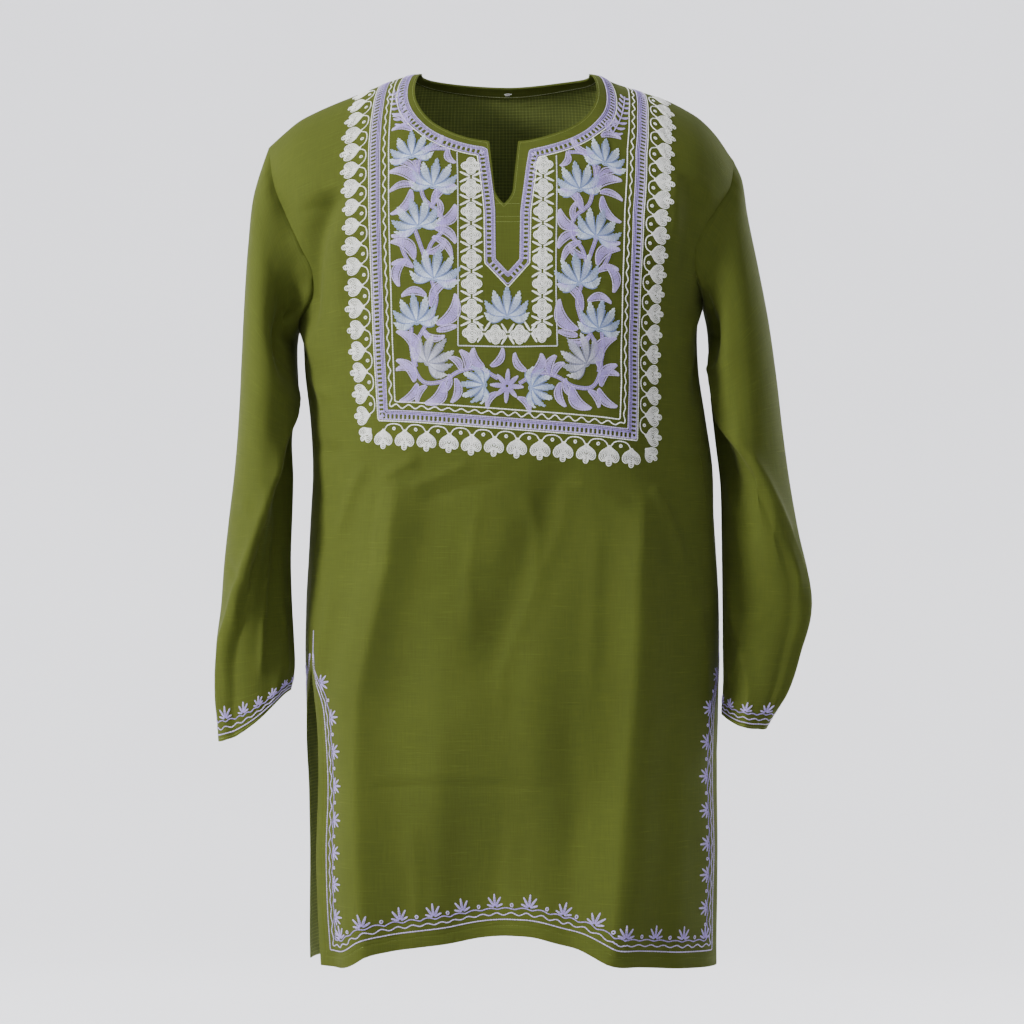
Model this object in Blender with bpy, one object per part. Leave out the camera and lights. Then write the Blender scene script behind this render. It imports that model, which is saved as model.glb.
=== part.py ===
"""Kurta tunic: a long-sleeved cotton tunic with side slits, filled out as if worn.

+X is to the right of someone facing its front, -Y is its front and +Z is up. The origin is in the
middle of the neck, level with the high points of the shoulders.
"""

import math
from collections import Counter

import bpy
import numpy as np
from mathutils import Vector
from mathutils.geometry import delaunay_2d_cdt

MM = 0.001
WALL = 1.2 * MM
SEAM_GAP = 0.3 * MM

# Neck
NECK_HALF_WIDTH = 97 * MM
FRONT_NECK_DROP = 79 * MM
BACK_NECK_DROP = 10 * MM
FRONT_NECK_ROUNDNESS = 2.35
BACK_NECK_ROUNDNESS = 1.75
NOTCH_MIDDLE = -4 * MM
NOTCH_HALF_TOP = 14 * MM
NOTCH_HALF_BOTTOM = 7 * MM
NOTCH_BOTTOM = 144 * MM
FACING_WIDTH = 9 * MM

# Slits and hem, measured down the cloth from the shoulder line
SLIT_TOP = 655 * MM
HEM_SIDE = 959.5 * MM
BACK_HEM_RISE = 16 * MM
BACK_HEM_REACH = 200 * MM
HEM_CORNER = 225 * MM
LONGEST = 965 * MM
ARMHOLE_DEPTH = {-1: 280 * MM, 1: 254 * MM}

# How the curved cloth is divided
QUARTER = 270 * MM
FRONT_CELL = 23 * MM
BACK_CELL = 27 * MM
SHOULDER_CELL = 9 * MM
CELL_GROWTH = 0.17
ROW_HEIGHT = 0.88
LINE_CLEARANCE = 0.5
NECK_STEP = 9 * MM
EDGE_STEP = 22 * MM
ARMHOLE_STEPS = 14
SLEEVE_RINGS = 25
RING_CROWDING = 1.15
GRID_DOWN = 321
GRID_QUARTER = 96
ARMHOLE_SHARES = (0.55, 0.25, 0.08)
CREASE_ANGLE = 55
CREASE_SHARPNESS = 1.6

# Level sections of the body. down: distance down the cloth. drop: how far below the shoulder line.
# front, back: depth to each side of the shoulder line. left, right: half widths. corner: exponent of
# the section's rounded outline. slope: share of the shoulders' slope that the level still has.
LEVEL_COLUMNS = ("down", "drop", "front", "back", "left", "right", "corner", "slope")
LEVELS = (
    (0, 0, 0, 0, 247, 232, 5.0, 1.00),
    (15, 3, 15, 15, 247, 233, 5.0, 1.00),
    (31, 10, 28.5, 28, 246.5, 233, 4.8, 1.00),
    (51, 23, 44, 42, 245.5, 232, 4.5, 0.97),
    (81, 46, 63, 58, 243, 230, 4.0, 0.92),
    (111, 72, 78, 72, 239, 226, 3.6, 0.85),
    (150, 108, 93, 87, 232, 219, 3.2, 0.73),
    (200, 156, 107, 101, 223, 208, 2.9, 0.57),
    (280, 235, 119, 112, 212.5, 196, 2.5, 0.36),
    (345, 300, 122, 114, 208, 195, 2.4, 0.20),
    (390, 345, 121.5, 113, 203, 201, 2.35, 0.12),
    (445, 400, 120, 111, 200, 209, 2.3, 0.06),
    (500, 455, 118, 111, 202, 211.5, 2.3, 0.02),
    (545, 500, 118, 112, 204.5, 213.5, 2.3, 0.00),
    (600, 555, 118, 114, 208, 216, 2.3, 0.00),
    (645, 600, 118, 115, 208.5, 216.5, 2.3, 0.00),
    (700, 655, 119, 117, 206, 215.5, 2.3, 0.00),
    (760, 715, 120, 118, 205.5, 215, 2.35, 0.00),
    (850, 805, 121, 119, 206, 216, 2.4, 0.00),
    (965, 920, 122, 120, 205, 215, 2.4, 0.00),
)

# The shoulder line. out: distance from the middle. left, right: how far it has dropped there.
SHOULDER_COLUMNS = ("out", "left", "right")
SHOULDER = (
    (0, 0, 0),
    (80, 0, 0),
    (93, 0.5, 2),
    (105, 3, 8),
    (120, 8, 13.5),
    (140, 16, 20),
    (160, 24, 26.5),
    (180, 32, 36),
    (200, 41, 49),
    (215, 49, 65),
    (232, 63, 89),
    (247, 76.5, 100),
)

# Armhole edges. part: share of the armhole's depth. The others: share of the half width at which
# each edge lies.
ARMHOLE_COLUMNS = ("part", "front_left", "front_right", "back")
ARMHOLE = (
    (0.00, 1.000, 1.000, 1.000),
    (0.10, 0.992, 0.993, 0.994),
    (0.25, 0.986, 0.987, 0.989),
    (0.40, 0.978, 0.974, 0.983),
    (0.55, 0.967, 0.954, 0.974),
    (0.70, 0.948, 0.930, 0.960),
    (0.85, 0.943, 0.922, 0.956),
    (0.95, 0.968, 0.955, 0.973),
    (1.00, 1.000, 1.000, 1.000),
)

# Side seams and slit edges, as shares of the quarter from the middle of the front, with 1 at the side.
SIDE_COLUMNS = ("down", "front_left", "front_right", "back_left", "back_right")
SIDES = (
    (250, 1.00, 1.00, 1.00, 1.00),
    (300, 0.98, 0.98, 0.98, 0.98),
    (345, 0.92, 0.92, 0.92, 0.92),
    (400, 0.84, 0.83, 0.84, 0.83),
    (445, 0.81, 0.80, 0.81, 0.80),
    (500, 0.82, 0.84, 0.82, 0.84),
    (550, 0.85, 0.91, 0.85, 0.91),
    (600, 0.86, 0.955, 0.86, 0.955),
    (655, 0.83, 0.965, 0.83, 0.965),
    (700, 0.805, 0.93, 0.94, 1.00),
    (760, 0.79, 0.90, 1.03, 1.03),
    (850, 0.79, 0.90, 1.05, 1.05),
    (965, 0.765, 0.885, 1.06, 1.06),
)

# The front hem. across: as in the folds. rise: how much shorter the panel hangs there.
HEM_COLUMNS = ("across", "rise")
HEM = (
    (-230, 4),
    (-190, 4.5),
    (-162, 7),
    (-151, 12),
    (-141, 18.5),
    (-121, 24),
    (-101, 27),
    (-62, 31.5),
    (-26, 37.5),
    (4, 39.5),
    (24, 38.5),
    (50, 32),
    (71, 26.5),
    (83, 20),
    (93, 14),
    (125, 9.5),
    (156, 6),
    (206, 2),
    (250, 0),
)

# The largest folds. Each runs through its points (across, down), where across is 270 at the side
# seam and 540 at the middle of the back, and left is negative. reach: half width. rise: height of
# the ridge, or depth of the trough where it is negative. start, end: lengths over which it fades.
FOLD_COLUMNS = ("path", "reach", "rise", "start", "end")
FOLDS = (
    (((-112, 425), (-124, 549), (-160, 690), (-154, 790), (-147, 975)), 27, 13, 110, 5),
    (((142, 450), (134, 555), (132, 690), (121, 790), (102, 975)), 29, 14, 110, 5),
    (((52, 430), (44, 505), (8, 585), (-18, 680)), 30, -7, 60, 60),
    (((-18, 700), (-22, 975)), 78, -24, 200, 5),
    (((-60, 250), (-95, 330), (-120, 400)), 34, -4, 60, 60),
    (((418, 430), (428, 690), (420, 975)), 30, 11, 130, 5),
    (((-402, 440), (-424, 700), (-430, 975)), 32, 12, 130, 5),
    (((500, 520), (508, 975)), 34, -9, 160, 5),
    (((-476, 500), (-500, 975)), 30, -8, 160, 5),
)

# Sleeve sections, from just past the armhole to the cuff. outer_x, outer_z and inner_x, inner_z:
# the ends of the section across, with z downwards. middle: how far forward its centre lies.
# depth: half its size from front to back. corner: exponent. crease: the angle of the pressed
# crease, from the outer end through the front. rise: the crease's height. dip: how far its front
# lies below its middle.
SLEEVE_COLUMNS = (
    "outer_x", "outer_z", "inner_x", "inner_z", "middle", "depth", "corner", "crease", "rise", "dip",
)
SLEEVES = {
    -1: (
        (252.0, 91.0, 216.5, 266.5, 2, 54, 2.2, 165, 0, 0),
        (261.5, 122.0, 217.5, 279.0, 3, 57, 2.2, 165, 0, 0),
        (267.5, 175.0, 217.5, 297.0, 5, 61, 2.2, 165, 1, 0),
        (271.5, 238.0, 216.5, 320.0, 7, 65, 2.15, 160, 3, 0),
        (274.0, 293.0, 218.0, 345.0, 9, 66, 2.1, 152, 5, 0),
        (276.5, 347.0, 222.5, 374.0, 10, 65, 2.05, 140, 7, 0),
        (281.0, 408.0, 221.0, 418.0, 12, 62, 2.0, 122, 8, 0),
        (287.5, 465.0, 221.5, 460.0, 15, 58, 2.0, 103, 8, 0),
        (291.5, 506.0, 222.5, 501.0, 19, 54, 2.0, 86, 8, 0),
        (294.0, 547.0, 221.0, 547.0, 25, 49, 2.0, 66, 7, 0),
        (297.5, 590.0, 218.5, 586.0, 32, 44, 2.0, 46, 6, 2),
        (296.0, 630.0, 217.5, 611.0, 38, 39, 2.05, 30, 5, 6),
        (294.0, 682.0, 221.0, 634.0, 44, 34, 2.1, 20, 2, 8),
    ),
    1: (
        (241.0, 110.0, 203.0, 254.0, 2, 52, 2.2, 100, 0, 0),
        (246.0, 142.0, 205.0, 266.0, 3, 55, 2.2, 100, 2, 0),
        (257.0, 197.0, 206.0, 284.0, 5, 59, 2.15, 108, 4, 0),
        (267.5, 252.0, 206.0, 311.0, 7, 62, 2.1, 116, 6, 0),
        (276.0, 312.0, 209.0, 345.0, 9, 62, 2.05, 122, 7, 0),
        (282.5, 368.0, 213.5, 384.0, 10, 60, 2.0, 112, 8, 0),
        (289.5, 420.0, 218.0, 424.0, 12, 57, 2.0, 96, 8, 0),
        (298.5, 472.0, 219.0, 470.0, 15, 54, 2.0, 76, 8, 0),
        (308.5, 522.0, 219.5, 516.0, 19, 50, 2.0, 52, 8, 0),
        (307.5, 553.0, 219.5, 553.0, 24, 46, 2.0, 38, 7, 0),
        (295.5, 590.0, 219.0, 590.0, 32, 42, 2.0, 28, 6, 1),
        (283.5, 626.0, 219.0, 624.0, 40, 38, 2.05, 24, 5, 3),
        (261.5, 669.0, 217.0, 658.0, 50, 34, 2.1, 20, 2, 5),
    ),
}

COTTON = {
    "front": (0.105, 0.125, 0.022, 1.0),
    "back": (0.095, 0.115, 0.020, 1.0),
    "sleeve_right": (0.110, 0.130, 0.024, 1.0),
    "sleeve_left": (0.100, 0.120, 0.022, 1.0),
    "neck_facing_back": (0.080, 0.098, 0.018, 1.0),
}
COTTON_ROUGHNESS = 0.9


def column(rows, columns, name):
    return np.array([row[columns.index(name)] for row in rows], float)


def smooth(at, places, values, level_start=False):
    """Reads a smooth curve through a table's rows."""
    at = np.asarray(at, float)
    slopes = np.gradient(values, places)
    if level_start:
        slopes[0] = 0.0
    row = np.clip(np.searchsorted(places, at) - 1, 0, len(places) - 2)
    step = places[row + 1] - places[row]
    t = np.clip((at - places[row]) / step, 0.0, 1.0)
    start = (2 * t**3 - 3 * t**2 + 1) * values[row] + (t**3 - 2 * t**2 + t) * step * slopes[row]
    end = (3 * t**2 - 2 * t**3) * values[row + 1] + (t**3 - t**2) * step * slopes[row + 1]
    return start + end


def ease(t):
    t = np.clip(t, 0.0, 1.0)
    return t * t * (3 - 2 * t)


def unit(vectors):
    return vectors / np.maximum(np.linalg.norm(vectors, axis=-1, keepdims=True), 1e-12)


def level(name, down):
    """A column of LEVELS in metres, or as it is for the two that aren't lengths."""
    scale = 1.0 if name in ("corner", "slope") else MM
    places = column(LEVELS, LEVEL_COLUMNS, "down") * MM
    values = column(LEVELS, LEVEL_COLUMNS, name) * scale
    return smooth(down, places, values, level_start=name == "drop")


def shoulder_drop(out, side):
    places = column(SHOULDER, SHOULDER_COLUMNS, "out") * MM
    values = column(SHOULDER, SHOULDER_COLUMNS, "left" if side < 0 else "right") * MM
    return smooth(out, places, values)


def quarter_section(half_width, depth, corner):
    """A quarter of a rounded outline, evenly spaced from the middle to the side, as shares."""
    angle = np.linspace(0, math.pi / 2, 361)
    across = np.sin(angle) ** (2 / corner)
    forward = np.cos(angle) ** (2 / corner)
    steps = np.hypot(np.diff(across) * half_width, np.diff(forward) * max(depth, 1e-6))
    length = np.concatenate(([0.0], np.cumsum(steps)))
    even = np.linspace(0, length[-1], GRID_QUARTER + 1)
    return np.interp(even, length, across), np.interp(even, length, forward)


def fold_rise(across, down):
    """The height that all the folds add at each point of the cloth."""
    total = np.zeros(np.broadcast(across, down).shape)
    for row in FOLDS:
        fold = dict(zip(FOLD_COLUMNS, row))
        path = np.array(fold["path"], float) * MM
        lengths = np.hypot(*np.diff(path, axis=0).T)
        travelled = np.concatenate(([0.0], np.cumsum(lengths)))
        nearest = np.full(total.shape, np.inf)
        along = np.zeros(total.shape)
        for first, second, length, before in zip(path, path[1:], lengths, travelled):
            way = (second - first) / length
            t = np.clip((across - first[0]) * way[0] + (down - first[1]) * way[1], 0, length)
            away = np.hypot(across - first[0] - way[0] * t, down - first[1] - way[1] * t)
            closer = away < nearest
            nearest = np.where(closer, away, nearest)
            along = np.where(closer, before + t, along)
        left = travelled[-1] - along
        fade = ease(along / (fold["start"] * MM)) * ease(left / (fold["end"] * MM))
        total += fold["rise"] * MM * np.exp(-((nearest / (fold["reach"] * MM)) ** 2)) * fade
    return total


def body_grid():
    """The body's surface: points by level and by quarter, from the middle of the back round."""
    downs = np.linspace(0, LONGEST, GRID_DOWN)
    points = np.zeros((GRID_DOWN, 4 * GRID_QUARTER + 1, 3))
    for i, down in enumerate(downs):
        corner = float(level("corner", down))
        drop = float(level("drop", down))
        slope = float(level("slope", down))
        for side in (-1, 1):
            half_width = float(level("left" if side < 0 else "right", down))
            for towards, name in ((-1, "front"), (1, "back")):
                depth = float(level(name, down))
                across, forward = quarter_section(half_width, depth, corner)
                quarter = np.arange(GRID_QUARTER + 1)
                if towards > 0:
                    quarter = 2 * GRID_QUARTER - quarter
                columns = 2 * GRID_QUARTER + side * quarter
                out = across * half_width
                points[i, columns, 0] = side * out
                points[i, columns, 1] = towards * depth * forward
                points[i, columns, 2] = -drop - slope * shoulder_drop(out, side)
    quarters = np.linspace(-2, 2, 4 * GRID_QUARTER + 1)
    rise = fold_rise(quarters[None, :] * QUARTER, downs[:, None])
    rise[:, 0] = rise[:, -1] = (rise[:, 0] + rise[:, -1]) / 2
    points = points + rise[..., None] * grid_normals(points, closed=True)
    return points, grid_normals(points, closed=True)


def grid_normals(points, closed):
    """Outward normals of a grid whose rows go down and whose columns go round."""
    down = np.gradient(points, axis=0)
    if closed:
        ring = np.concatenate((points[:, -2:-1], points, points[:, 1:2]), axis=1)
        around = ring[:, 2:] - ring[:, :-2]
    else:
        around = np.gradient(points, axis=1)
    return unit(np.cross(down, around))


def read_grid(grid, row, col):
    """Values of a grid between its rows and columns."""
    row = np.clip(row, 0, grid.shape[0] - 1.001)
    col = np.clip(col, 0, grid.shape[1] - 1.001)
    i, j = row.astype(int), col.astype(int)
    a, b = (row - i)[..., None], (col - j)[..., None]
    upper = grid[i, j] * (1 - b) + grid[i, j + 1] * b
    lower = grid[i + 1, j] * (1 - b) + grid[i + 1, j + 1] * b
    return upper * (1 - a) + lower * a


BODY_POINTS, BODY_NORMALS = body_grid()


def body(quarter, down):
    """Points and outward normals of the body's surface."""
    quarter, down = np.broadcast_arrays(np.asarray(quarter, float), np.asarray(down, float))
    row = down / LONGEST * (GRID_DOWN - 1)
    col = (quarter + 2) * GRID_QUARTER
    return read_grid(BODY_POINTS, row, col), unit(read_grid(BODY_NORMALS, row, col))


def down_at_drop(drop):
    """How far down the cloth a given height lies, at the middle of a panel."""
    downs = np.linspace(0, LONGEST, 2000)
    return np.interp(drop, level("drop", downs), downs)


def armhole(side, panel, steps=ARMHOLE_STEPS):
    """The armhole's edge from the shoulder point to the underarm, as (quarter, down)."""
    name = "back" if panel == "back" else ("front_left" if side < 0 else "front_right")
    fine = np.linspace(0, 1, 600)
    places = column(ARMHOLE, ARMHOLE_COLUMNS, "part")
    share = np.minimum(smooth(fine, places, column(ARMHOLE, ARMHOLE_COLUMNS, name)), 1.0)
    down = fine * ARMHOLE_DEPTH[side]
    quarter = np.ones(len(fine))
    for k in range(1, len(fine) - 1):
        half_width = float(level("left" if side < 0 else "right", down[k]))
        depth = float(level(panel, down[k]))
        across, _ = quarter_section(half_width, depth, float(level("corner", down[k])))
        quarter[k] = np.interp(share[k], across, np.linspace(0, 1, len(across)))
    points, _ = body(side * (quarter if panel == "front" else 2 - quarter), down)
    length = np.concatenate(([0.0], np.cumsum(np.linalg.norm(np.diff(points, axis=0), axis=1))))
    even = np.linspace(0, length[-1], steps + 1)
    return np.interp(even, length, quarter), np.interp(even, length, down)


def side_edge(side, panel):
    """The side seam and the slit's edge, from the underarm to the hem, as (quarter, down)."""
    hand = "_left" if side < 0 else "_right"
    top = ARMHOLE_DEPTH[side]
    bottom = HEM_SIDE
    if panel == "front":
        bottom = float(hem_down(side * HEM_CORNER, panel))
    down = np.linspace(top, bottom, round((bottom - top) / EDGE_STEP) + 1)
    down[np.argmin(abs(down - SLIT_TOP))] = SLIT_TOP
    places = column(SIDES, SIDE_COLUMNS, "down") * MM
    seam = smooth(down, places, column(SIDES, SIDE_COLUMNS, "front" + hand))
    edge = smooth(down, places, column(SIDES, SIDE_COLUMNS, panel + hand))
    seam[0] = 1.0
    quarter = np.where(down <= SLIT_TOP + 1e-6, seam, edge)
    gap = SEAM_GAP / 2 / QUARTER
    if panel == "back":
        return 2 - quarter - gap, down
    return quarter - gap, down


def hem_down(across, panel):
    """How far down the hem lies: it rises between the two large folds."""
    if panel == "back":
        return HEM_SIDE - BACK_HEM_RISE * (1 - ease(np.abs(across) / BACK_HEM_REACH))
    places = column(HEM, HEM_COLUMNS, "across") * MM
    return HEM_SIDE - smooth(across, places, column(HEM, HEM_COLUMNS, "rise") * MM)


def neckline(panel, widen=0.0):
    """Half of the neckline as (across, down), from the shoulder line to the middle."""
    drop = (FRONT_NECK_DROP if panel == "front" else BACK_NECK_DROP) + widen
    half_width = NECK_HALF_WIDTH + widen
    roundness = FRONT_NECK_ROUNDNESS if panel == "front" else BACK_NECK_ROUNDNESS
    angle = np.linspace(0, math.pi / 2, 400)
    across = half_width * np.cos(angle) ** (2 / roundness)
    down = down_at_drop(drop * np.sin(angle) ** (2 / roundness))
    length = np.concatenate(([0.0], np.cumsum(np.hypot(np.diff(across), np.diff(down)))))
    even = np.linspace(0, length[-1], round(length[-1] / NECK_STEP) + 1)
    across, down = np.interp(even, length, across), np.interp(even, length, down)
    down[0] = SEAM_GAP / 2
    return across, down


def front_neck_edge():
    """The whole front neckline with its notch, from the left to the right, as (across, down)."""
    across, down = neckline("front")
    left, right = NOTCH_MIDDLE - NOTCH_HALF_TOP, NOTCH_MIDDLE + NOTCH_HALF_TOP
    top = down_at_drop(FRONT_NECK_DROP)
    bottom = down_at_drop(NOTCH_BOTTOM)
    edge = [(-a, d) for a, d in zip(across, down) if -a < left - NECK_STEP / 2]
    notch = []
    straight = bottom - NOTCH_HALF_BOTTOM
    for t in np.linspace(0, 1, 7):
        half = NOTCH_HALF_TOP + (NOTCH_HALF_BOTTOM - NOTCH_HALF_TOP) * t
        notch.append((half, top + (straight - top) * t))
    for angle in np.linspace(0, math.pi / 2, 4)[1:]:
        notch.append(
            (NOTCH_HALF_BOTTOM * math.cos(angle), straight + NOTCH_HALF_BOTTOM * math.sin(angle))
        )
    edge += [(NOTCH_MIDDLE - half, d) for half, d in notch]
    edge += [(NOTCH_MIDDLE + half, d) for half, d in reversed(notch[:-1])]
    edge += [(a, d) for a, d in zip(across[::-1], down[::-1]) if a > right + NECK_STEP / 2]
    return edge


def panel_outline(panel):
    """The panel's outline in its flat, as (across, down), anticlockwise seen from outside."""
    if panel == "front":
        neck = front_neck_edge()
    else:
        across, down = neckline("back")
        neck = [(-a, d) for a, d in zip(across, down)]
        neck += [(a, d) for a, d in zip(across[::-1], down[::-1])][1:]
    sides = {}
    for hand in (-1, 1):
        # The back is seen from behind, so its left hand is the body's right side.
        side = hand if panel == "front" else -hand
        shoulder_width = float(level("left" if side < 0 else "right", 0.0))
        neck_out = NECK_HALF_WIDTH / shoulder_width
        steps = round((1 - neck_out) * shoulder_width / EDGE_STEP)
        shoulder = [(q, SEAM_GAP / 2) for q in np.linspace(neck_out, 1, steps + 1)[1:-1]]
        hole = list(zip(*armhole(side, panel)))
        hole[0] = (1 - SEAM_GAP / 2 / QUARTER, SEAM_GAP / 2)
        quarter, down = side_edge(side, panel)
        edge = list(zip(quarter, down))
        hole[-1] = edge[0]
        run = shoulder + hole + edge[1:]
        sides[hand] = [(hand * q * QUARTER, d) for q, d in run]
    hem_left, hem_right = sides[-1][-1][0], sides[1][-1][0]
    steps = round((hem_right - hem_left) / EDGE_STEP)
    hem = [(a, float(hem_down(a, panel))) for a in np.linspace(hem_left, hem_right, steps + 1)]
    return neck + sides[1] + hem[::-1][1:-1] + sides[-1][::-1]


def flat_to_body(panel, across, down):
    """Points and normals of a panel's flat coordinates."""
    across = np.asarray(across, float)
    if panel == "front":
        quarter = across / QUARTER
    else:
        quarter = np.where(across >= 0, -2 + across / QUARTER, 2 + across / QUARTER)
    return body(quarter, down)


def inside(points, loop):
    """Which points lie inside a closed loop."""
    x, y = points[:, 0:1], points[:, 1:2]
    a, b = loop, np.roll(loop, -1, axis=0)
    crosses = (a[:, 1] > y) != (b[:, 1] > y)
    with np.errstate(divide="ignore", invalid="ignore"):
        at = (b[:, 0] - a[:, 0]) * (y - a[:, 1]) / (b[:, 1] - a[:, 1]) + a[:, 0]
    return (crosses & (x < at)).sum(axis=1) % 2 == 1


def clear_of(points, line_starts, line_ends):
    """Each point's distance to the nearest of some straight lines."""
    way = line_ends - line_starts
    length = np.maximum((way**2).sum(axis=1), 1e-16)
    t = np.clip(((points[:, None] - line_starts) * way).sum(axis=2) / length, 0, 1)
    return np.linalg.norm(points[:, None] - line_starts - way * t[..., None], axis=2).min(axis=1)


def triangulate(loop, extra, cell):
    """Fills a flat outline with points and triangles that keep its edges and the extra lines."""
    loop = np.array(loop, float)
    lines = [(loop, np.roll(loop, -1, axis=0))] + [(e[:-1], e[1:]) for e in extra]
    starts = np.concatenate([s for s, _ in lines])
    ends = np.concatenate([e for _, e in lines])
    rows, down = [], SHOULDER_CELL
    while down < loop[:, 1].max():
        step = min(cell, SHOULDER_CELL + CELL_GROWTH * down)
        shift = cell / 2 * (len(rows) % 2)
        across = np.arange(loop[:, 0].min() + shift, loop[:, 0].max(), cell)
        rows.append(np.stack((across, np.full(len(across), down)), axis=1))
        down += step * ROW_HEIGHT
    points = np.concatenate(rows)
    points = points[inside(points, loop)]
    near = clear_of(points, starts, ends)
    limit = np.minimum(cell, SHOULDER_CELL + CELL_GROWTH * points[:, 1]) * LINE_CLEARANCE
    points = points[near > limit]
    corners, edges = [tuple(p) for p in loop], []
    for line in extra:
        start = len(corners)
        corners += [tuple(p) for p in line]
        edges += [(start + k, start + k + 1) for k in range(len(line) - 1)]
    corners += [tuple(p) for p in points]
    flipped = [Vector((a, -d)) for a, d in corners]
    face = list(range(len(loop)))[::-1]
    verts, _, faces, *_ = delaunay_2d_cdt(flipped, edges, [face], 1, 1e-6, False)
    flat = np.array([(v.x, -v.y) for v in verts])
    tris = np.array(faces)
    tris = tris[inside(flat[tris].mean(axis=1), loop)]
    a, b, c = (flat[tris[:, k]] for k in range(3))
    area = (b[:, 0] - a[:, 0]) * (c[:, 1] - a[:, 1]) - (b[:, 1] - a[:, 1]) * (c[:, 0] - a[:, 0])
    tris[area > 0] = tris[area > 0][:, ::-1]
    return flat, tris[abs(area) > 1e-9]


def walled(name, outer, inner, faces):
    """A closed wall between two matching surfaces, as an object. Faces face out on the outer one."""
    used, index = np.unique(faces, return_inverse=True)
    faces = index.reshape(faces.shape)
    outer, inner = outer[used], inner[used]
    count = len(used)
    directed = Counter()
    for face in faces:
        for k in range(len(face)):
            directed[(int(face[k]), int(face[(k + 1) % len(face)]))] += 1
    rim = [(a, b) for a, b in directed if (b, a) not in directed]
    quads = [(b, a, a + count, b + count) for a, b in rim]
    all_faces = [tuple(int(v) for v in f) for f in faces]
    all_faces += [tuple(int(v) + count for v in f[::-1]) for f in faces] + quads
    mesh = bpy.data.meshes.new(name)
    mesh.from_pydata(np.concatenate((outer, inner)).tolist(), [], all_faces)
    mesh.update()
    mesh.shade_smooth()
    mesh.set_sharp_from_angle(angle=math.radians(50))
    made = bpy.data.objects.new(name, mesh)
    made.data.materials.append(cotton(name))
    return made


def cotton(name):
    """Handloom cotton in the piece's own shade."""
    material = bpy.data.materials.new("cotton_" + name)
    material.use_nodes = True
    shader = material.node_tree.nodes["Principled BSDF"]
    shader.inputs["Base Color"].default_value = COTTON[name]
    shader.inputs["Roughness"].default_value = COTTON_ROUGHNESS
    shader.inputs["Metallic"].default_value = 0.0
    return material


def make_front():
    flat, faces = triangulate(panel_outline("front"), [], FRONT_CELL)
    points, normals = flat_to_body("front", flat[:, 0], flat[:, 1])
    return [walled("front", points + WALL * normals, points, faces)]


def make_back():
    """The back, and its neck facing from the same points, moved inwards."""
    across, down = neckline("back", FACING_WIDTH)
    line = [(-a, d) for a, d in zip(across, down)]
    line += [(a, d) for a, d in zip(across[::-1], down[::-1])][1:]
    line = np.array(line)
    flat, faces = triangulate(panel_outline("back"), [line], BACK_CELL)
    points, normals = flat_to_body("back", flat[:, 0], flat[:, 1])
    made = [walled("back", points + WALL * normals, points, faces)]
    middles = flat[faces].mean(axis=1)
    band = np.concatenate((line, [(line[-1, 0], -1.0), (line[0, 0], -1.0)]))
    strip = faces[inside(middles, band)]
    outside = points - SEAM_GAP * normals
    made.append(walled("neck_facing_back", outside, outside - WALL * normals, strip))
    return made


def armhole_loop(side):
    """The whole armhole from the shoulder point round the front: points, normals, ways off."""
    loop = []
    for panel in ("front", "back"):
        quarter, down = armhole(side, panel)
        points, normals = body(side * (quarter if panel == "front" else 2 - quarter), down)
        along = np.gradient(points, axis=0)
        away = unit(np.cross(normals, along))
        middle = len(quarter) // 2
        inner, _ = body(side * (0.7 if panel == "front" else 1.3), down[middle])
        if np.dot(away[middle], points[middle] - inner) < 0:
            away = -away
        loop.append((points, normals, away))
    (fp, fn, fa), (bp, bn, ba) = loop
    joined = []
    for first, second in ((fp, bp), (fn, bn), (fa, ba)):
        joined.append(np.concatenate((first, second[::-1][1:-1])))
    joined[2][0] = unit(fa[0] + ba[0])
    joined[2][len(fp) - 1] = unit(fa[-1] + ba[-1])
    return joined


def sleeve_section(side, row, angle):
    """One section of a sleeve, as points round it."""
    value = dict(zip(SLEEVE_COLUMNS, row))
    outer = np.array((side * value["outer_x"], 0, -value["outer_z"])) * MM
    inner = np.array((side * value["inner_x"], 0, -value["inner_z"])) * MM
    middle = (outer + inner) / 2 + np.array((0, -value["middle"] * MM, 0))
    half = (outer - inner) / 2
    power = 2 / value["corner"]
    across = np.sign(np.cos(angle)) * np.abs(np.cos(angle)) ** power
    forward = np.sign(np.sin(angle)) * np.abs(np.sin(angle)) ** power
    ring = middle + across[:, None] * half
    ring[:, 1] -= forward * value["depth"] * MM
    ring[:, 2] -= forward * value["dip"] * MM
    turn = np.abs((angle - math.radians(value["crease"]) + math.pi) % (2 * math.pi) - math.pi)
    ridge = np.clip(1 - turn / math.radians(CREASE_ANGLE), 0, 1) ** CREASE_SHARPNESS
    ridge *= value["rise"] * MM
    out = np.stack((across * half[0], -forward * value["depth"] * MM, across * half[2]), axis=1)
    return ring + unit(out) * ridge[:, None]


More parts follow.
